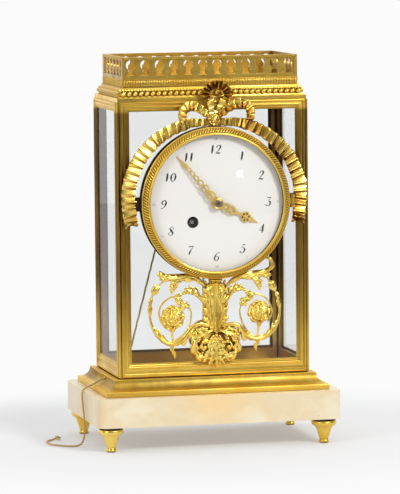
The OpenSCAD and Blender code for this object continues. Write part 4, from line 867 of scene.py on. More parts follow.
# %% Milled band
BAND_X, REED_PITCH = 83.2, 1.55
band_rows = [(-3, 336.5), (-3, Z_BAND), (-0.5, Z_BAND), (-0.35, 332.65), (-0.35, 333.0),
    (-0.6, 333.15), (-0.6, 338.6), (-0.2, 338.75), (-0.2, 339.2), (-0.6, Z_GALLERY)]
piece("milled_band_run", *loft(moulding(BAND_X, band_rows)), cast_gilt, nodes=["milled_band"])


def reeds_round(name, half_x, half_y, z, height, width, depth):
    runs = []
    for angle, face, half in ((0, half_y, half_x), (180, half_y, half_x), (90, half_x, half_y),
            (270, half_x, half_y)):
        a = math.radians(angle)
        count = int((2 * half - 1.2) / REED_PITCH)
        c, n, first = math.cos(a), math.sin(a), -(count - 1) / 2 * REED_PITCH
        runs.append(row(reed(width, depth, height, a), cast_gilt,
            (first * c + face * n, first * n - face * c, z), (REED_PITCH * c, REED_PITCH * n, 0),
            count))
    place(name, joined(runs), cast_gilt)


reeds_round("milled_band_reeds", BAND_X - 0.55, 43.15, 333.2, 5.3, 1.3, 0.65)

# %% [markdown]
# Each gallery panel is a pierced strip: a row of keyhole openings, rails above and below and a post
# at each end. Its outline and its openings are filled as one flat face, which is then given its
# thickness. Thin raised lines run between the openings, and the top rail is milled on its outside.

# %% Gallery
def flat_solid(loops, thick):
    """A flat sheet with holes in X and Z, from y = 0 to y = thick, as a bmesh."""
    bm = bmesh.new()
    edges = []
    for loop in loops:
        verts = [bm.verts.new((x * MM, 0, z * MM)) for x, z in loop]
        edges += [bm.edges.new((verts[i], verts[(i + 1) % len(verts)])) for i in range(len(verts))]
    filled = bmesh.ops.triangle_fill(bm, use_beauty=True, use_dissolve=False, edges=edges)
    sheet = [f for f in filled["geom"] if isinstance(f, bmesh.types.BMFace)]
    grown = bmesh.ops.extrude_face_region(bm, geom=sheet, use_keep_orig=True)
    bmesh.ops.translate(bm, vec=(0, thick * MM, 0),
        verts=[v for v in grown["geom"] if isinstance(v, bmesh.types.BMVert)])
    bmesh.ops.recalc_face_normals(bm, faces=bm.faces)
    return bm


def add(bm, shapes):
    for points, faces in shapes:
        verts = [bm.verts.new([c * MM for c in p]) for p in points]
        for f in faces:
            bm.faces.new([verts[i] for i in f])
    return bm


def keyhole(at):
    head, r, neck, foot = 352.7, 4.5, 2.3, 343.1
    a0 = math.degrees(math.asin(neck / r))
    right_side = [(4.5, foot)] + [(neck + 2.2 * (1 - math.sin(t)), foot + 3.0 * (1 - math.cos(t)))
        for t in np.linspace(0.15, math.pi / 2, 6)]
    left_side = [(-x, z) for x, z in reversed(right_side)]
    return [(at + x, z) for x, z in
        right_side + arc(0, head, r, r, -90 + a0, 270 - a0, 28) + left_side]


GALLERY_X, GALLERY_Y, GALLERY_T, PROUD = 81.8, 42.3, 1.8, 0.7
RAIL, FOOT_RAIL, POST = 2.6, 3, GALLERY_T + 2 * PROUD


def gallery(name, half, count, pitch, angle, face):
    """One panel: half length, openings and pitch; angle turns it round the case."""
    centres = [(k - (count - 1) / 2) * pitch for k in range(count)]
    strip = [(sx * (half - 0.4), z) for sx, z in ((-1, Z_GALLERY + 0.2), (1, Z_GALLERY + 0.2),
        (1, Z_TOP - 0.2), (-1, Z_TOP - 0.2))]
    parts = [bar(x0, x1, -PROUD, GALLERY_T + PROUD, z0, z1) for x0, x1, z0, z1 in (
        (-half, half, Z_TOP - RAIL, Z_TOP), (-half, half, Z_GALLERY, Z_GALLERY + FOOT_RAIL),
        (-half, POST - half, Z_GALLERY + FOOT_RAIL, Z_TOP - RAIL),
        (half - POST, half, Z_GALLERY + FOOT_RAIL, Z_TOP - RAIL))]
    for z, reach, h in ((355.0, 4.15, 0.9), (345.8, 2.7, 1.0)):
        stops = [-half + POST] + [c + s * reach for c in centres for s in (-1, 1)] + [half - POST]
        parts += [bar(x0 + 0.1, x1 - 0.1, y0, y1, z, z + h)
            for x0, x1 in zip(stops[::2], stops[1::2]) if x1 - x0 > 0.6
            for y0, y1 in ((-0.6, 0.1), (GALLERY_T - 0.1, GALLERY_T + 0.5))]
    bm = add(flat_solid([strip] + [keyhole(c) for c in centres], GALLERY_T), parts)
    bm.transform(Matrix.Rotation(math.radians(angle), 4, "Z")
        @ Matrix.Translation((0, -face * MM, 0)))
    place(name + "_pierced", written(bm, name + "_pierced"), gallery_gilt, nodes=[name],
        bevel=0.12)


long_panel = (GALLERY_X + PROUD, 12, (2 * GALLERY_X - 1) / 12)
side_panel = (GALLERY_Y - GALLERY_T - 0.4, 6, (2 * GALLERY_Y - 3.3) / 6)
gallery("gallery_front", *long_panel, 0, GALLERY_Y)
gallery("gallery_rear", *long_panel, 180, GALLERY_Y)
gallery("gallery_right", *side_panel, 90, GALLERY_X)
gallery("gallery_left", *side_panel, 270, GALLERY_X)
reeds_round("gallery_rail_reeds", GALLERY_X + PROUD, GALLERY_Y + PROUD, 357.7, 2.0, 1.2, 0.45)

# %% [markdown]
# The dial is a shallow dome of enamel, and everything on it follows that dome: a numeral is a pen
# stroke of changing width that is laid on the surface. `dome` gives the depth of such a sphere.

# %% Dial
def dome(r, edge_r, bulge, edge_d):
    big = (edge_r ** 2 + bulge ** 2) / (2 * bulge)
    return edge_d + bulge - big + math.sqrt(big * big - r * r)


def dome_cap(edge_r, bulge, thick, edge_d, steps=24):
    radii = [edge_r * k / steps for k in range(steps + 1)]
    return lathe([(r, dome(r, edge_r, bulge, edge_d)) for r in radii]
        + [(r, dome(r, edge_r, bulge, edge_d - thick)) for r in reversed(radii)], 144, DIAL, "Y")


def turned_ring(name, rows, finish, spot=DIAL, steps=144, **how):
    return piece(name, *lathe(rows, steps, spot, "Y", closed=True), finish, **how)


FACE_R, FACE_BULGE, FACE_EDGE = 63.15, 3.2, 6.3
WIND_X, WIND_Z = -22.5, -17


def on_face(x, z):
    return Y_DIAL - dome(math.hypot(x, z), FACE_R, FACE_BULGE, FACE_EDGE)


dial_mesh = mesh_of("enamel_dome", *dome_cap(FACE_R, FACE_BULGE, 1.6, FACE_EDGE))
for x, z, r in ((0, 0, 4.1), (WIND_X, WIND_Z, 5.25)):
    dial_mesh = bored(dial_mesh, (x, -50, Z_DIAL + z), r, 20, (0, -1, 0))
place("enamel_dome", smooth(dial_mesh, SHARP), dial_enamel,
    nodes=["enamel_dial"], bevel=0.12)
turned_ring("winding_hole_lining", [(4.35, -1.2), (5.2, -1.2), (5.2, 0.0), (5.05, 0.16),
    (4.6, 0.1), (4.35, -0.15)], dark_steel,
    spot=(WIND_X, on_face(WIND_X, WIND_Z), Z_DIAL + WIND_Z), steps=48)
turned_ring("dial_back_ring", [(58.4, 2.4), (62.4, 2.4), (62.4, 4.6), (58.4, 5.0)],
    movement_brass)
turned_ring("dial_plate_rim", [(68.0, -2.8), (69.9, -2.8), (70.2, -2.5), (70.2, -0.7),
    (69.9, -0.4), (68.0, -0.4)], dark_steel)

# %% [markdown]
# Numerals are drawn in a box one unit high. Every row is a point of a stroke with the width of the
# pen there, so thick stems and hairlines come from the numbers. They lean forward a little. Tiny
# quarter numbers and dots mark the minutes outside them.

# %% Numerals
nine = [(.5, .90, .09), (.38, .99, .04), (.14, .70, .10), (.06, .32, .15), (.27, .01, .05),
    (.53, .24, .13), (.42, .50, .06), (.24, .53, .03), (.09, .36, .03)]
STROKES = {
    "0": [[(.3, 1, .04), (.1, .78, .11), (.05, .5, .17), (.1, .22, .11), (.3, 0, .04),
        (.5, .22, .11), (.55, .5, .17), (.5, .78, .11), (.3, 1, .04)]],
    "1": [[(.2, 1, .08), (.2, .7, .17), (.2, .3, .17), (.2, 0, .07)],
        [(.02, .80, .02), (.12, .9, .05), (.22, 1, .05)]],
    "2": [[(.12, .72, .16), (.09, .84, .08), (.28, 1, .04), (.5, .80, .15), (.40, .5, .10),
        (.12, .12, .04), (.06, .03, .05), (.26, .09, .10), (.46, .03, .12), (.58, .16, .03)]],
    "3": [[(.08, .86, .03), (.10, .97, .06), (.3, .95, .07), (.54, .98, .04)],
        [(.54, .98, .03), (.40, .76, .04), (.28, .6, .04), (.52, .42, .14), (.48, .1, .10),
        (.24, 0, .04), (.06, .10, .10), (.10, .19, .13)]],
    "4": [[(.42, 1, .04), (.22, .62, .04), (.02, .30, .04)], [(.02, .3, .05), (.62, .3, .05)],
        [(.42, 1, .10), (.42, .5, .17), (.42, 0, .10)]],
    "5": [[(.2, .95, .08), (.38, .93, .09), (.54, 1, .03)], [(.2, .97, .03), (.15, .56, .03)],
        [(.15, .56, .03), (.34, .62, .05), (.54, .36, .15), (.42, .06, .08), (.2, 0, .04),
        (.05, .10, .10), (.10, .19, .12)]],
    "6": [nine],
    "7": [[(.04, .80, .03), (.07, .95, .07), (.3, .93, .09), (.58, .99, .03)],
        [(.58, .99, .03), (.34, .55, .08), (.24, .25, .16), (.22, 0, .10)]],
    "8": [[(.49, .88, .03), (.31, 1, .04), (.11, .79, .10), (.3, .54, .16), (.53, .25, .14),
        (.3, 0, .04), (.05, .21, .05), (.27, .48, .04), (.50, .75, .05), (.49, .88, .03)]],
    "9": [[(.58 - x, 1 - y, w) for x, y, w in nine]],
}
LEAN, PEN, HAIRLINE, SUNK = 0.2, 1.25, 0.035, 0.05
HOUR_R, HOUR_H, MINUTE_R, MINUTE_H = 49.3, 8.0, 58.6, 2.3


def numeral(text, x, z, height):
    """The strokes of a number, centred at x and z from the middle of the dial."""
    step = 0.60 if "1" in text else 0.72
    start = -(len(text) - 1) * step / 2 - (0.2 if text[0] == "1" and len(text) < 2 else 0.3)
    shapes = []
    for i, figure in enumerate(text):
        for k, stroke in enumerate(STROKES[figure]):
            line = spline(stroke, 9 * (len(stroke) - 1))
            rings = []
            for n, ((a, b, w), (ta, tb)) in enumerate(zip(line, tangents(line[:, :2]))):
                w = max(PEN * w, HAIRLINE)
                edge = []
                for s in (-0.5, 0.5):
                    ea, eb = a + start + i * step - s * w * tb, b - 0.5 + s * w * ta
                    px, pz = x + (ea + LEAN * eb) * height, z + eb * height
                    edge.append((px, on_face(px, pz), Z_DIAL + pz))
                lift = 0.05 + 0.01 * k + 0.0003 * n
                rings.append([(px, py + dy, pz) for (px, py, pz), dy in (
                    (edge[0], SUNK), (edge[1], SUNK), (edge[1], -lift), (edge[0], -lift))])
            shapes.append(loft(rings))
    return shapes


hours, minutes = [], []
for mark in range(1, 13):
    across, up = math.sin(math.radians(30 * mark)), math.cos(math.radians(30 * mark))
    hours += numeral(str(mark), HOUR_R * across, HOUR_R * up, HOUR_H)
for mark in range(12):
    a = math.radians(30 * mark)
    x, z = MINUTE_R * math.sin(a), MINUTE_R * math.cos(a)
    minutes += numeral(str(5 * mark or 60), x, z, MINUTE_H) if mark % 3 == 0 else [
        lathe([(0, -0.06), (0.42, -0.06), (0.42, 0.04), (0, 0.07)], 16,
            (x, on_face(x, z), Z_DIAL + z), "Y")]
hours, minutes = merged(hours), merged(minutes)
piece("hour_numerals", *hours, dial_black, sharp=60)
piece("minute_marks", *minutes, worn_black, sharp=60)
print("numeral faces:", len(hours[1]) + len(minutes[1]))

# %% [markdown]
# The bezel has a plain outer rim, a rope of slanted beads and a bright hollow that leads to the
# glass. The rope is the ring tree with one bead, the rest is turned. A knuckle holds it on its
# hinge at three o'clock.

# %% Bezel and its glass
ROPE_R, ROPE_D, ROPE_COUNT, SLOPE = 66.95, 10.75, 168, math.radians(46)
HINGE_X, HINGE_Y = 73, -58.55
LENS_R, LENS_BULGE = 64.05, 8
bezel_rows = [(65.5, 8.0), (65.5, 0.3), (68.6, 0.3), (68.6, 5.6), (69.4, 5.9), (69.85, 6.3),
    (70.0, 6.9), (69.9, 7.5), (69.6, 7.9), (69.3, 8.1), (69.1, 8.3), (65.05, 12.4), (64.9, 12.7),
    (64.7, 13.1), (64.3, 13.5), (63.8, 13.65), (63.2, 13.55), (62.9, 13.2), (62.75, 12.7),
    (62.75, 10.3), (64.25, 10.3), (64.25, 8.6)]
turned_ring("bezel_turned", bezel_rows, bezel_gilt, body="bezel_door", nodes=["bezel"], sharp=50,
    steps=192)
c, n = math.cos(SLOPE), math.sin(SLOPE)
slant = loft([[(-n * 1.75 * k + c * 0.85 * s * math.sin(a), 0.85 * k + 0.74 * s * math.cos(a),
    ROPE_D + c * 1.75 * k + n * 0.85 * s * math.sin(a)) for a in around(10)] for k, s in (
        (-1.45, 0.2), (-1.2, 0.7), (-0.6, 1.0), (0.6, 1.0), (1.2, 0.7), (1.45, 0.2))])
rope_mesh = copies_of(slant, bright_gilt, ring_tree, Count=ROPE_COUNT, Radius=ROPE_R * MM)
rope_mesh.transform(Matrix.Translation((0, Y_DIAL * MM, Z_DIAL * MM))
    @ Matrix(((1, 0, 0, 0), (0, 0, -1, 0), (0, 1, 0, 0), (0, 0, 0, 1))))
place("bezel_rope", rope_mesh, bright_gilt, body="bezel_door")
for i, z in enumerate((Z_DIAL - 4.5, Z_DIAL + 4.5)):
    piece(f"hinge_sleeve_{i}", *lathe([(2.22, -1.5), (2.5, -1.4), (2.5, 1.4), (2.22, 1.5)], 32,
        (HINGE_X, HINGE_Y, z), closed=True), bright_gilt)
    piece(f"hinge_foot_{i}", *bar(71.0, 75.0, -57.0, -54.5, z - 1.55, z + 1.55), bright_gilt,
        bevel=0.2)
piece("bezel_knuckle", *lathe([(1.1, -2.7), (2.05, -2.7), (2.2, -2.5), (2.2, 2.5), (2.05, 2.7),
    (1.1, 2.7)], 32, (HINGE_X, HINGE_Y, Z_DIAL), closed=True), bright_gilt, body="bezel_door")
piece("bezel_knuckle_leaf", *bar(67.6, 72.2, -59.85, -57.25, Z_DIAL - 2.7, Z_DIAL + 2.7),
    bright_gilt, body="bezel_door", bevel=0.15)
piece("bezel_lens", *dome_cap(LENS_R, LENS_BULGE, 1.5, 9.9), lens_glass, body="bezel_door",
    nodes=["bezel_glass"])

# %% [markdown]
# Hands are pierced sheets that curve with the glass. The outline and the openings are filled flat,
# given their thickness, bent over a sphere and turned to the time. Beads and rings are set on them.

# %% Hands
# A pose is the depth of a hand in front of the dial's plane and its turn in degrees from twelve.
HAND_T, MINUTE_POSE, HOUR_POSE = 0.7, (13.7, -40), (11.5, 116.5)


def bent(bm, d, turned):
    """Bends a flat hand, which points up from the middle, and turns it on the dial."""
    for v in bm.verts:
        r = math.hypot(v.co.x, v.co.z) / MM
        v.co.y -= (HAND_T + dome(r, LENS_R, LENS_BULGE, d - LENS_BULGE)) * MM
    bm.transform(Matrix.Translation((0, Y_DIAL * MM, Z_DIAL * MM))
        @ Matrix.Rotation(math.radians(turned), 4, "Y"))
    return bm


def eye(x, at, half, length, lean=0.0, steps=10):
    side = [(half * math.sin(math.pi * k / steps) ** 0.8,
        at + length * (2 * k / steps - 1)) for k in range(steps + 1)]
    return [(x + w + lean * (q - at), q)
        for w, q in side + [(-w, q) for w, q in reversed(side[1:-1])]]


def pair(x, at, half, length, lean):
    return [eye(s * x, at, half, length, s * lean) for s in (-1, 1)]


def circle(x, z, r, steps=24):
    return [(x + r * math.cos(a), z + r * math.sin(a)) for a in around(steps)]


def blade(rows, r, extra=lambda q: 0.0, step=0.45):
    """The outline of a hand with its round hub, from rows of (distance, half width)."""
    line = spline(rows, int((rows[-1][0] - rows[0][0]) / step))
    side = [(max(w, extra(q), 0.12), q) for q, w in line]
    a0 = math.asin(min(0.99, side[0][0] / r))
    hub = [(r * math.sin(a), r * math.cos(a)) for a in np.linspace(2 * math.pi - a0, a0, 48)]
    return side + [(-w, q) for w, q in reversed(side)] + hub[1:-1]


def hand(name, loops, extras, *pose):
    bm = bent(add(flat_solid(loops, HAND_T), extras), *pose)
    place(name + "_pierced", written(bm, name + "_pierced", sharp=40), hand_gilt,
        body=name + "_set", nodes=[name], bevel=0.16)


def boss(x, z, r, lift):
    rows = [(r * math.cos(a), -0.1 + lift * math.sin(a)) for a in np.linspace(0, 1.5, 6)]
    return lathe([(0, -0.1)] + rows, 20, (x, 0, z), "Y")


minute_rows = [(5, 2.8), (7.5, 3.9), (10, 4.2), (12.8, 3.1), (14.6, 1.8), (16.6, 3.3), (18.6, 3.9),
    (20.6, 2.9), (22.2, 1.5), (24, 2.8), (26, 3.0), (28, 1.3), (29.8, 2.4), (31.6, 2.5),
    (33.4, 1.2), (35, 2.2), (36.8, 2.3), (38.4, 1.1), (40, 2.0), (41.6, 2.0), (43.2, 1.0),
    (44.8, 2.1), (46.4, 1.9), (50, 1.0), (57, 0.2)]
minute_holes = [circle(0, 0, 1.9), *pair(1.75, 9, 0.95, 2.6, 0.05),
    *pair(1.65, 18, 0.95, 2.1, -0.05), eye(0, 25, 1.8, 2.0), eye(0, 30.7, 1.5, 1.8),
    eye(0, 35.9, 1.35, 1.6), eye(0, 40.8, 1.15, 1.4)]
minute_extras = [lathe([(3.0, -0.1), (3.0, 0.5), (3.5, 0.7), (4.0, 0.5), (4.5, 0.65), (5.1, 0.4),
    (5.15, -0.1)], 64, axis="Y", closed=True), boss(0, 14.6, 0.9, 0.6), boss(0, 22.2, 0.75, 0.5),
    boss(0, 44.6, 0.9, 0.5)]
hand("minute_hand", [blade(minute_rows, 5.2)] + minute_holes, minute_extras, *MINUTE_POSE)

ROSE = 30
hour_rows = [(5.4, 2.6), (7.6, 3.8), (10, 4.3), (12.6, 4.0), (14.4, 4.5), (16.6, 4.0), (19, 2.4),
    (21.4, 1.3), (24.2, 1.4), (30, 2), (35.2, 1.9), (36.6, 2.7), (37.8, 1.6), (39, 0.8),
    (40.2, 1.1), (44, 0.15)]


def petalled(q):
    return math.sqrt(max(0.0, 25 - (q - ROSE) ** 2))


def in_rose(make, r, first, *how):
    return [make(r * math.cos(a + first), ROSE + r * math.sin(a + first), *how) for a in around(6)]


hour_holes = [circle(0, 0, 3.2), *pair(2.0, 9.8, 0.85, 2.3, 0.12), eye(0, 9.2, 0.6, 2.2),
    *pair(2.1, 15, 0.95, 2.0, -0.16), eye(0, 16.6, 0.7, 2.4), *in_rose(circle, 3.15, 0, 0.9, 14)]
hour_extras = [lathe([(3.3, -0.1), (3.3, 0.4), (4.4, 0.55), (5.5, 0.35), (5.55, -0.1)], 64,
    axis="Y", closed=True), boss(0, ROSE, 1.5, 1.3), *in_rose(boss, 4.1, 0.52, 0.95, 0.8),
    *in_rose(boss, 2.3, 0.52, 0.6, 0.7), boss(0, 12.4, 0.8, 0.55), boss(0, 21.4, 0.8, 0.6),
    boss(0, 36.6, 0.8, 0.6)]
hand("hour_hand", [blade(hour_rows, 5.6, petalled)] + hour_holes, hour_extras, *HOUR_POSE)
# A dark steel disc behind the rosette paints the shade seen through its holes.
rosette_shade = lathe([(0, -0.62), (4.5, -0.62), (4.5, -0.78), (0, -0.78)], 40, (0, 0, ROSE), "Y")
rosette_shade = bent(opened(mesh_of("rosette_shade_disc", *rosette_shade)), *HOUR_POSE)
place("hour_hand_backing", written(rosette_shade, "hour_hand_backing"), dark_steel,
    body="hour_hand_set")

# %% [markdown]
# The minute hand is fixed on the cannon pinion, whose pipe passes through the dial. That part keeps
# its CAD shape: the hand's CAD mesh is cut behind the sheet and the cut is closed again.

# %% Cannon pinion
CUT_Y, PINION_REACH = -68.0, 9.5
bm = opened(frame["nodes"]["minute_hand"].data)
bmesh.ops.bisect_plane(bm, geom=bm.verts[:] + bm.edges[:] + bm.faces[:],
    plane_co=(0, CUT_Y * MM, 0), plane_no=(0, -1, 0), clear_outer=True)
bmesh.ops.delete(bm, context="VERTS", geom=[
    v for v in bm.verts if math.hypot(v.co.x, v.co.z - Z_DIAL * MM) > PINION_REACH * MM])
bmesh.ops.bridge_loops(bm, edges=[e for e in bm.edges if e.is_boundary])
pinion = written(bm, "cannon_pinion")
place("cannon_pinion", pinion, movement_brass, body="minute_hand_set")
print("cannon pinion faces:", len(pinion.polygons))

# %% [markdown]
# The ribbon is one sheet with pleats. Its height runs through a fold profile along the route, every
# fold gets its own depth, width and slant from a fixed seed, and the edges swell at each fold. The
# sheet has a real thickness, so that the folds also show at the edges.

# %% Pleated ribbon
chance = np.random.default_rng(7)
PER_FOLD, ACROSS, SHEET, RISE_SHARE, CRISP = 14, 12, 0.95, 0.62, 0.8


def ribbon(route, folds, widths, high=3.1, low=1.1, tail=0.0, fan=0.35):
    """A pleated sheet along (x, z) points from the middle of the dial."""
    count = folds * PER_FOLD
    line = spline(route, count)
    depth, shift = chance.uniform(0.62, 1.0, folds + 1), chance.uniform(-0.16, 0.16, folds + 1)
    slant = chance.uniform(-0.55, 0.55, folds + 1)
    rings = []
    for i, ((cx, cz), (tx, tz)) in enumerate(zip(line, tangents(line))):
        u = i / count
        half = np.interp(u, np.linspace(0, 1, len(widths)), widths) / 2
        k = min(int(u * folds), folds - 1)
        blend = 0.5 - 0.5 * math.cos(math.pi * (u * folds - k))
        lean, push = (a[k] * (1 - blend) + a[k + 1] * blend for a in (slant, shift))
        front, back = [], []
        for v in np.linspace(-1, 1, ACROSS + 1):
            phase = u * folds + push + 0.35 * lean * v
            f = phase - math.floor(phase)
            fold = f / RISE_SHARE if f < RISE_SHARE else (1 - f) / (1 - RISE_SHARE)
            fold = CRISP * fold + (1 - CRISP) * fold * fold * (3 - 2 * fold)
            crease = 0.16 * math.sin(2 * math.pi * (2 * phase + 0.1 * v))
            deep = depth[min(int(phase) % (folds + 1), folds)]
            h = low + (high * deep * (fold * 0.85 + 0.15) + crease * 0.5) * (1 - fan + fan * v)
            h = max(0.35, h * (1 - 0.10 * v ** 6))
            w = half * v * (1 + 0.055 * math.cos(2 * math.pi * (phase - RISE_SHARE)))
            along = tail * (abs(v) ** 1.3 - 0.35 + 0.18 * math.cos(9 * v)) * max(0, u - 0.93) / 0.07
            x, z = cx - w * tz + along * tx, cz + w * tx + along * tz
            front.append((x, Y_DIAL - h, Z_DIAL + z))
            back.append((x, Y_DIAL - max(0.02, h - SHEET), Z_DIAL + z))
        rings.append(front + back[::-1])
    return loft(rings)


side_route = [(26.5, 72.3), (39, 68.0), (52, 60.4), (62.8, 50.8), (71.3, 39.4), (77.3, 27),
    (80.7, 14), (81, 1), (79.8, -12), (78.6, -19.5)]
for name, s in (("ribbon_right", 1), ("ribbon_left", -1)):
    side = ribbon([(s * x, z) for x, z in side_route], 18, (9.8, 11.6, 12.8, 12.8, 12.4),
        high=3.05 - 0.25 * s, tail=2.8, fan=-0.3 * s)
    piece(name + "_pleated", *side, ribbon_gilt, nodes=[name], sharp=75)

KNOT, BUTTON = 74.3, (0, Y_DIAL - 0.9, Z_DIAL + 75.9)
RING_X, RING_Z = 2.8, KNOT + 25.2
bow = [ribbon(arc(RING_X, RING_Z, 10.2, 8.8, -40, 220, 10), 12, (6.4, 7.6, 8.2, 7.6, 6.4),
    fan=-0.45)]
for s, size in ((1, 1.0), (-1, 0.86)):
    bow += [
        ribbon([(s * x * size, KNOT + z * size) for x, z in ((3, 5), (9, 9), (16, 14.2), (24, 17),
            (31.4, 14.4), (34.4, 8), (33.6, 0.6))], 9, (5.6, 7.4, 9.4, 8.4, 7.0), fan=-0.4 * s),
        ribbon([(s * x, KNOT + z) for x, z in ((2, -0.4), (12, -0.5), (22, -0.9), (30, -3.2))], 6,
            (6.4, 8.0, 9.6), high=2.3, fan=-0.2 * s),
        ribbon([(s * x + lean, KNOT + z) for x, lean, z in ((1.2, 0, 4), (3.0, 0.8, 9),
            (4.8, 2.0, 15), (6.6, 2.8, 20))], 3, (4.0, 7.0), high=1.0, low=1.2)]
bow += [
    lathe([(0, 0.2), (5.9, 0.2), (6.1, 1.4), (5.8, 2.6), (5.1, 3.5), (4.5, 3.7), (4.0, 3.3),
        (3.6, 2.9), (3.1, 3.1), (2.7, 3.7), (2.2, 4.0), (1.8, 3.7), (1.4, 3.9), (0.9, 4.4),
        (0, 4.6)], 64, BUTTON, "Y"),
    lathe([(0, -3.2), (1.8, -3.2), (1.8, 0.6), (0, 0.6)], 24, (0, Y_DIAL, Z_OPEN_TOP + 4.4), "Y"),
    *(moved(lathe([(0, 2.2), (0.8, 2.6), (0.9, 3.2), (0.5, 3.8), (0, 3.9)], 10, BUTTON, "Y"),
        4.3 * math.cos(a), 0, 4.3 * math.sin(a)) for a in around(9))]
bow = merged(bow)
piece("ribbon_bow_tied", *bow, bow_gilt, nodes=["ribbon_bow"], sharp=75)
# This dark disc paints the shade inside the bow's ring. It was meant for that ring, but Z_DIAL is
# missing from its height, so it stands behind the leaves of the shell instead.
piece("bow_ring_inside", *lathe([(0, 0.1), (6.2, 0.1), (6.2, 0.7), (0, 0.4)], 40,
    (RING_X, Y_DIAL, RING_Z), "Y"), shaded_gilt, bevel=0.1)
print("bow faces:", len(bow[1]))

# %% [markdown]
# The ornament under the dial is cast and chased. It is built from leaves and stems. A leaf follows
# a route with a changing width. Its edges are cut into lobes that point forward, a ridge runs to
# each lobe and a groove down its middle. A stem is a tapering rounded bar. The parts of one casting
# are joined and remeshed with small voxels, which melts them together as metal would.

# %% Leaves, stems and castings
Y_FACE, Y_SCROLL = -CAGE_Y, -CAGE_Y - 0.6


def mirrored(s, *route):
    return [(s * x, z) for x, z in route]


def leaf(route, widths, y, crown=1.6, lobes=5, skew=0.5, cut=0.3, vein=0.6, thick=1.0,
        sides=(1, 1), groove=0.5, sweep=0.4, rise=0.0):
    """A chased leaf along (x, z) points; y is its back, rise lifts its tip forward."""
    count = max(28, lobes * 11)
    line = spline(route, count)
    span = lengths(line).sum()
    cuts = cut if isinstance(cut, tuple) else (cut, cut)
    spread = spline([(w,) for w in widths], count)[:, 0]
    rings = []
    for i, ((cx, cz), (tx, tz)) in enumerate(zip(line, tangents(line))):
        u, w = i / count, max(0.15, spread[i])
        reach, small = skew * w / span, min(1.0, w / 2.2)
        edge = 0.5 - 0.5 * math.cos(2 * math.pi * lobes * (u - reach))
        front, back = [], []
        for v in np.linspace(-1, 1, ACROSS + 1):
            m, side = abs(v), 0 if v < 0 else 1
            ridge = 0.5 - 0.5 * math.cos(2 * math.pi * lobes * (u - reach * m))
            half = w * sides[side] * (1 - cuts[side] * (1 - edge) ** 1.6)
            h = (thick + crown * (1 - m ** 2.2) * small + vein * small * (ridge - 0.4) * m ** 0.7
                - groove * small * math.exp(-(v / 0.11) ** 2) + rise * u * u)
            run = sweep * half * m * m
            x, z = cx - half * v * tz + run * tx, cz + half * v * tx + run * tz
            front.append((x, y - max(0.4, h), z))
            back.append((x, y - rise * u * u * 0.6, z))
        rings.append(front + back[::-1])
    return loft(rings)


def stem(route, widths, y, height=1.0, steps=90, sides=12):
    """A rounded bar along (x, z) points with half widths; its back lies at y."""
    line = spline(route, steps)
    rings = []
    spread = spline([(w,) for w in widths], steps)
    for (cx, cz), (tx, tz), (w,) in zip(line, tangents(line), spread):
        w = max(0.3, w)
        h = height * max(w, 0.8)
        rings.append([(cx - w * math.cos(a) * tz, y - h - h * math.sin(a),
            cz + w * math.cos(a) * tx) for a in around(sides)])
    return loft(rings)


def rosette(x, z, r, y):
    """A flower of three rings of cupped petals round a seeded heart."""
    parts = [lathe([(0, 0), (r * 0.86, 0), (r * 0.9, 1.0), (r * 0.7, 2.4), (0, 3.6)], 40,
        (x, y, z), "Y")]
    for count, inner, outer, w, back, first in ((8, 0.35, 1.03, 0.50, 0.2, 0.0),
            (7, 0.2, 0.78, 0.40, 2.1, 0.35), (5, 0.08, 0.5, 0.30, 3.4, 0.1)):
        for a in around(count) + first:
            c, n = math.cos(a), math.sin(a)
            route = [(x + r * (q * c - 0.05 * b * n), z + r * (q * n + 0.05 * b * c))
                for q, b in ((inner, 0), ((inner + outer) / 2, 1), (outer, 0))]
            parts.append(leaf(route, [w * r * share for share in (0.5, 1, 0.85, 0.25)], y - back,
                crown=1.9, lobes=2, cut=0.10, vein=0.35, thick=0.6, groove=0.9, sweep=0.1,
                rise=0.5))
    seed = bead(0.07 * r, 0.07 * r, 0.07 * r)
    heart = [(0.13 * r * math.cos(a), 0.13 * r * math.sin(a)) for a in around(6)] + [(0, 0)]
    return parts + [moved(seed, x + dx, y - 5.4, z + dz) for dx, dz in heart]


def bud(x, z, angle, y, length=10.5, w=2.8):
    """A closed calyx: three narrow leaves over a pointed core."""
    c, n = math.cos(math.radians(angle)), math.sin(math.radians(angle))
    return [leaf([(x + length * q * c - w * lean * b * n, z + length * q * n + w * lean * b * c)
        for q, b in ((0, 0), (0.35, 1.3), (0.7, 1.5), (1, 1.1))],
        (w * 0.3, w * wide, w * wide, 0.3), y - 0.4, crown=w * 0.6, lobes=2, cut=0.2, vein=0.4)
        for lean, wide in ((-0.5, 0.55), (0.5, 0.55), (0, 0.75))]


def cast(node, parts, limit, voxel=0.32):
    """Joins parts, keeps them in front of y = limit and melts them together."""
    points, faces = merged(parts)
    raw = mesh_of("casting", [(x, min(y, limit), z) for x, y, z in points], faces)
    mesh = applied(raw, ("REMESH", {"mode": "VOXEL", "voxel_size": voxel * MM}),
        ("SMOOTH", {"factor": 0.5, "iterations": 2}))
    print(node, "faces:", len(mesh.polygons))
    place(node + "_cast", mesh, mount_gilt, nodes=[node])


# %% [markdown]
# The stem is an upright acanthus under a small capital. A plain stalk runs up its middle, one broad
# leaf grows on each side of it with lobes that reach outward, and smaller leaves lie on those.

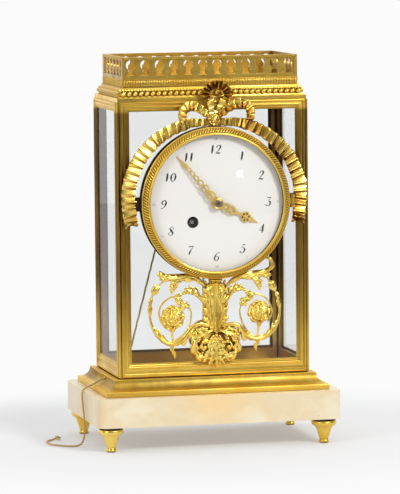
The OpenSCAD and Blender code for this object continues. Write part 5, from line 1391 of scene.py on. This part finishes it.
# %% Acanthus stem
parts = [loft([[(x, y, z) for x, z in (
    (-8.4, 108.5), (8.4, 108.5), (10.4, 118), (12.0, 127), (12.8, 136), (11.2, 143.5),
    (8.6, 148), (6.6, 152), (-6.2, 152), (-8.8, 148.5), (-11, 144), (-12, 136.5), (-11.4, 127.4),
    (-10.2, 118))] for y in (Y_FACE, Y_FACE - 2.2)])]
for s in (-1, 1):
    parts += [
        leaf(mirrored(s, (2.2, 108), (3.4, 118), (4.4, 130), (5.6, 142), (7.4, 150)),
            (5.2, 7.4, 9.0, 8.0, 3.6), Y_FACE - 1.6, crown=2.8, lobes=6, cut=0.18, vein=1.4,
            thick=1.2, skew=1.1, sides=(1, 0.55)[::-s], sweep=0.55, groove=0.9),
        *(leaf(mirrored(s, (5.0, z), (8.2, z + 4.2), (12.2, z + 7.8)), (1.4, 3.0, 2.4, 0.4),
            Y_FACE - 1.4, crown=1.7, lobes=3, rise=0.9) for z in (112.5, 121.5, 130.5)),
        leaf(mirrored(s, (1.6, 134), (4.8, 141), (8.6, 145.6), (11.6, 146)),
            (1.6, 3.2, 2.8, 0.5), Y_FACE - 3.2, crown=1.8, lobes=3, rise=1.2),
        stem(mirrored(s, (2.4, 108), (2.2, 124), (2.2, 140), (2.8, 151)), (0.9, 0.75, 0.7, 0.8),
            Y_FACE - 4.6, height=0.9),
        leaf(mirrored(s, (6.4, 147), (8.4, 150), (9.4, 154.2)), (1.0, 1.8, 1.5, 0.4), Y_FACE - 1.0,
            crown=1.0, lobes=2, rise=1.0)]
parts += [
    stem([(0, 107), (0.1, 122), (0.2, 138), (0.4, 152)], (2.9, 2.2, 2.0, 2.4), Y_FACE - 1.5,
        height=1.5),
    lathe([(0, 148.6), (5.0, 148.6), (6.0, 149.4), (6.5, 150.4), (6.1, 151.3), (5.3, 151.8),
        (5.3, 152.6), (6.3, 153.2), (6.9, 154.1), (6.9, 154.9), (6.3, 155.4), (0, 155.4)], 48,
        (0.5, Y_FACE - 0.6, 0))]
cast("acanthus_stem", parts, Y_FACE)
bm = add(flat_solid([[(-5, 140), (5, 140), (5, 168), (-5, 168)], circle(0, 164, 1.4)], 1.6), [])
bm.transform(Matrix.Translation((0, Y_FACE * MM, 0)))
place("stem_tongue", written(bm, "stem_tongue"), bright_gilt, bevel=0.15)

# %% [markdown]
# The shell at its foot is two leaves rolled into volutes, with a long central leaf that hangs over
# the frame's lower rail between two smaller ones.

# %% Shell palmette
parts = [
    leaf([(0, 108), (0, 98), (0, 86), (0, 78), (0, 73.4)], (1.4, 2.0, 2.6, 2.5, 0.6),
        Y_FACE - 4.8, crown=2.2, vein=0.7, thick=1.2, groove=1.2, skew=0.9),
    loft([[(x, y, z) for x, z in ((-9, 108), (9, 108), (13, 100), (8, 82), (4.6, 76.4), (0, 73.6),
        (-4.6, 76.4), (-8, 82), (-13, 100))] for y in (Y_FACE, Y_FACE - 3.2)]),
    *(moved(bead(1.1, 1.1, 1.1), 0, Y_FACE - 8.2 + 0.15 * k, 106.5 - 2.9 * k) for k in range(4))]
for s in (-1, 1):
    parts += [
        lathe([(0, 0), (10.8, 0), (11.2, 1.2), (10.2, 2.6), (8, 2.8), (0, 2.2)], 48,
            (s * 10.6, Y_FACE, 94), "Y"),
        leaf(mirrored(s, (3.0, 107.5), (9.0, 106.0), (15.6, 102.6), (19.4, 96.2), (18.2, 88.6),
            (12.8, 84.0), (7.4, 86.2), (5.6, 92.0), (8.2, 97.0), (12.8, 96.4), (14.0, 92.0),
            (11.2, 90.2)), (2.4, 3.6, 4.2, 4.4, 4.3, 4.0, 3.6, 3.0, 2.4, 1.9, 1.5, 0.8),
            Y_FACE - 2.2, crown=2.6, lobes=10, vein=1.5, thick=1.4, skew=1.0, groove=0.8,
            sides=(0.8, 1.15)[::s], rise=2.2),
        leaf(mirrored(s, (2.4, 104), (5.6, 95), (7.6, 86), (12.4, 79.2)), (2.0, 3.0, 3.0, 0.8),
            Y_FACE - 4.6, crown=1.8, vein=0.8, rise=0.4),
        leaf(mirrored(s, (1.6, 101), (3.8, 91), (4.4, 82), (7.6, 76.6)), (1.6, 2.6, 2.4, 0.6),
            Y_FACE - 5.4, lobes=4, vein=0.8, rise=0.2),
        leaf(mirrored(s, (6, 108.4), (12, 109.4), (18, 107.6), (23.4, 102.6)),
            (1.4, 2.4, 2.4, 0.6), Y_FACE - 1.2, rise=0.8),
        moved(bead(1.9, 1.9, 1.9), s * 11.2, Y_FACE - 7.2, 92.6)]
cast("shell_palmette", parts, Y_FACE)
piece("shell_pin", *bar(-3, 3, Y_FACE - 1, Y_FACE + 0.3, Z_OPEN - 4.8, Z_OPEN - 3.2), bright_gilt,
    bevel=0.15)

# %% [markdown]
# The scrolls differ a little from side to side, as hand work does, so each side has its own routes.
# They are the big C, the ring round the flower, the inner stem, the flower with its pendant, and
# the long leaf under the bezel.

# %% Scrolls
SCROLLS = {
    -1: dict(name="scroll_left", big=[(-6, 112), (-13.2, 114.2), (-19.7, 112.6), (-25.4, 107),
        (-31.4, 100.1), (-37.5, 96.8), (-43.5, 96.5), (-49.5, 99.7), (-55.4, 105.7), (-59.5, 113),
        (-61.2, 120), (-61.4, 127.1), (-61.1, 134.2), (-59.5, 140.6), (-56.6, 147.4),
        (-50.7, 152.6), (-46.5, 157)],
        ring=[(-9, 133), (-13, 137), (-18.4, 142.3), (-23.8, 144.3), (-29.9, 143), (-34.5, 140.8),
        (-38.8, 140.2), (-44.3, 138.3), (-49.7, 133.8), (-52.5, 128), (-52.6, 121.6),
        (-50.5, 116.1), (-46.4, 111.3), (-42.2, 108.8)],
        inner=[(-38.7, 98.4), (-33.9, 101.4), (-29, 105.4), (-25.4, 110.5), (-23.1, 118.1),
        (-22.6, 124.6), (-24.2, 128.6), (-27, 131)],
        calyx=[(-38.6, 140.2), (-34.5, 136), (-30, 132.4), (-24.6, 130.6)],
        flower=(-40, 121, 10.8), stalk=[(-41.6, 111), (-40.4, 102.3), (-39.9, 95)],
        pendant=[(-39.9, 97), (-41, 91.4), (-38.8, 87), (-38.5, 82.6)],
        top=[(-8, 147.4), (-12.9, 152.6), (-17.7, 156), (-24.7, 157.6), (-32.8, 157.8),
        (-41.8, 158), (-48.1, 159.4), (-52.8, 163)],
        top_widths=(1.3, 2.4, 3.4, 4.4, 4.6, 3.9, 3.4, 2.0), bud=(-58.8, 142, 62),
        tail=[(-31, 157.4), (-36.4, 153.6), (-39.6, 149.4), (-41.3, 142.3)],
        hook=[(-42, 157.4), (-48, 156.6), (-52.7, 157.6)]),
    1: dict(name="scroll_right", big=[(6, 111.4), (13.8, 112.8), (19.7, 112.4), (23.8, 109.2),
        (28.6, 102.9), (35.6, 99.2), (43.9, 98.9), (50.9, 102), (56.6, 108), (59.8, 114.6),
        (61.3, 122.8), (61, 129.5), (59.6, 136.5), (58.3, 141.2), (55.5, 145.4), (52.1, 151),
        (48.2, 157)],
        ring=[(9, 131.5), (12.1, 136.8), (15.7, 142.4), (21, 145.4), (27, 144.8), (32, 141.5),
        (36.4, 140.2), (42.8, 139.4), (49.1, 135.4), (52.6, 129.8), (54, 124.4), (52.9, 118.3),
        (49.5, 113.5)],
        inner=[(38.4, 99.6), (31.4, 104.8), (26.6, 112.4), (24.2, 119.3), (23.5, 125),
        (24.4, 129.4), (27, 132.4)],
        calyx=[(38, 141), (33, 137.6), (28, 134), (23.8, 130.4)],
        flower=(41.7, 123.4, 10.5), stalk=[(41.2, 113.8), (40.5, 105.1), (39, 98)],
        pendant=[(39.2, 101), (40, 95.2), (38, 92), (39, 87)],
        top=[(9, 146.4), (15.1, 152.6), (20.8, 155.8), (27.7, 157.6), (36.1, 158.6), (44.4, 160),
        (50.6, 162.4), (54.2, 167), (52.8, 171.4), (49.2, 173)],
        top_widths=(1.3, 2.4, 3.2, 4.1, 4.3, 3.4, 2.7, 2.3, 1.9, 1.0), bud=(57.4, 142, 118),
        tail=[(30.5, 158.4), (37.6, 155), (41.4, 150.4), (42.2, 143.4)],
        hook=[(43, 160), (48.6, 157.4), (53.5, 158)]),
}
y = Y_SCROLL
for s, r in SCROLLS.items():
    by_side = lambda a, b: (a, b)[::-s]
    out = by_side(0.5, 1.35)
    fx, fz, fr = r["flower"]
    parts = [
        stem(r["big"], (1.8, 2.1, 2.3, 2.2, 2.1, 1.9, 1.6, 1.3, 1.1, 1.0, 0.9, 0.85, 0.8), y,
            height=0.95, steps=130),
        stem(r["ring"], (1.8, 1.7, 1.5, 1.2, 1.0, 0.9, 0.85, 0.85, 0.8, 0.7), y, steps=110),
        stem(r["inner"], (1.3, 1.0, 0.85, 0.8, 0.8), y),
        stem(r["stalk"], (1.5, 0.9, 0.8), y - 0.4, steps=30),
        leaf(r["big"][2:6], (2.4, 4.0, 3.6, 0.9), y - 0.7, lobes=3, crown=1.5, vein=0.8, cut=0.45,
            sweep=0.9, sides=out),
        leaf(r["big"][5:10], (1.4, 3.6, 3.9, 3.2, 0.6), y - 0.6, lobes=4, crown=1.4, vein=0.8,
            cut=0.5, sweep=0.9, sides=out[::-1]),
        leaf(r["big"][10:14], (0.9, 2.2, 2.2, 0.5), y - 0.5, lobes=2, crown=1.1, vein=0.5, cut=0.4,
            sweep=0.9),
        leaf(r["ring"][1:5], (2.2, 4.2, 3.8, 0.8), y - 0.7, lobes=4, crown=1.5, vein=0.9,
            cut=by_side(0.42, 0.0), sweep=0.7, skew=0.8, sides=by_side(1.3, 0.6)),
        leaf(r["ring"][4:7], (0.9, 2.4, 2.0, 0.5), y - 0.6, lobes=2, crown=1.1, cut=0.4, sweep=0.8),
        leaf(r["calyx"], (1.2, 3.8, 4.6, 0.8), y - 0.6, lobes=3, crown=1.5, vein=0.9, cut=0.5,
            sweep=0.6, rise=0.8),
        leaf(r["pendant"], (0.9, 2.3, 1.8, 0.3), y - 0.4, lobes=4, crown=1.2, cut=0.35, sweep=0.8,
            skew=0.8),
        leaf(r["top"], r["top_widths"], y - 0.6, crown=1.7, vein=1.0, cut=by_side(0.0, 0.34),
            sweep=0.6, skew=0.9, sides=by_side(0.75, 1.15), rise=0.6),
        leaf(r["tail"], (2.6, 4.4, 3.2, 0.4), y - 0.9, lobes=4, vein=0.9, sweep=0.7, skew=1.0,
            rise=0.6),
        leaf(r["hook"], (1.4, 2.9, 2.2, 0.5), y - 0.8, lobes=2, crown=1.3, rise=0.8),
        *rosette(fx, fz, fr, y), *bud(*r["bud"], y),
        stem([(fx, fz - fr + 1), (fx - 0.2, fz - fr - 2.6)], (2.6, 1.4), y - 0.3, steps=12)]
    cast(r["name"], parts, Y_SCROLL)

# %% [markdown]
# The clock stands on a pale sweep. The sky is white behind and beside it and darker in front, where
# a camera and a room would be: that is what draws the dark and bright bands on gilt mouldings. The
# floor is matt and pale near the clock, where it takes the shadow, and melts into the white
# backdrop farther off.

# %% Floor, sky and lamps
BACKDROP, FLOOR_LIFT = 0.965, 0.26


def floor_paint():
    paint = Paint("pale floor", Roughness=0.9, Base_Color=(0.520, 0.525, 0.537),
        Specular_IOR_Level=0.0)
    spot = paint.node("ShaderNodeTexCoord", output="Object")
    far = paint.ramp(paint.distance(spot, (0, 0, 0)), 0.21, 0.40)
    seen = paint.node("ShaderNodeLightPath", output="Is Camera Ray").math("MAXIMUM",
        paint.node("ShaderNodeLightPath", output="Is Transmission Ray"))
    white = paint.node("ShaderNodeEmission", Color=(BACKDROP,) * 3)
    lift = paint.node("ShaderNodeEmission", Color=(1, 1, 1), Strength=FLOOR_LIFT)
    lit = paint.node("ShaderNodeAddShader", i0=Value(paint.tree, paint.shader.outputs[0]), i1=lift)
    return paint.surface(seen * far, lit, white)


floor = in_scene("floor", mesh_of("floor", [
    (-1700, -1150, 0), (1700, -1150, 0), (1700, 2600, 0), (-1700, 2600, 0)], [[0, 1, 2, 3]]))
floor.data.materials.append(floor_paint())

world = bpy.data.worlds.new("studio")
world.use_nodes = True
bpy.context.scene.world = world
sky = Nodes(world.node_tree)
way = sky.node("ShaderNodeTexCoord", output="Generated")
front = sky.ramp(sky.axis(way, 1), 0.28, -0.12)
below_ceiling = sky.ramp(sky.axis(way, 2), 0.72, 0.42)
camera_sees = sky.node("ShaderNodeLightPath", output="Is Camera Ray")
brightness = 1.05 - front * below_ceiling * 0.96
background = world.node_tree.nodes["Background"]
background.inputs["Color"].default_value = (1, 1, 1, 1)
feed(world.node_tree, background.inputs["Strength"],
    camera_sees * BACKDROP + (1.0 - camera_sees) * brightness)


def lamp(name, spot, aim_z, size, watts):
    light = bpy.data.lights.new(name, "AREA")
    light.energy, light.shape, (light.size, light.size_y) = watts, "RECTANGLE", size
    obj = in_scene(name, light)
    obj.location = spot
    obj.rotation_euler = (Vector(spot) - Vector((0, 0, aim_z))).to_track_quat("Z", "Y").to_euler()


lamp("key softbox", (1.25, -2.35, 1.74), 0.2, (0.6, 0.6), 52)
lamp("left softbox", (-1.9, -1.35, 1.0), 0.2, (0.7, 1.3), 15.5)
lamp("small front light", (1.04, -2.45, 0.56), 0.22, (0.13, 0.13), 1.0)
bpy.context.scene.view_settings.view_transform = "Standard"
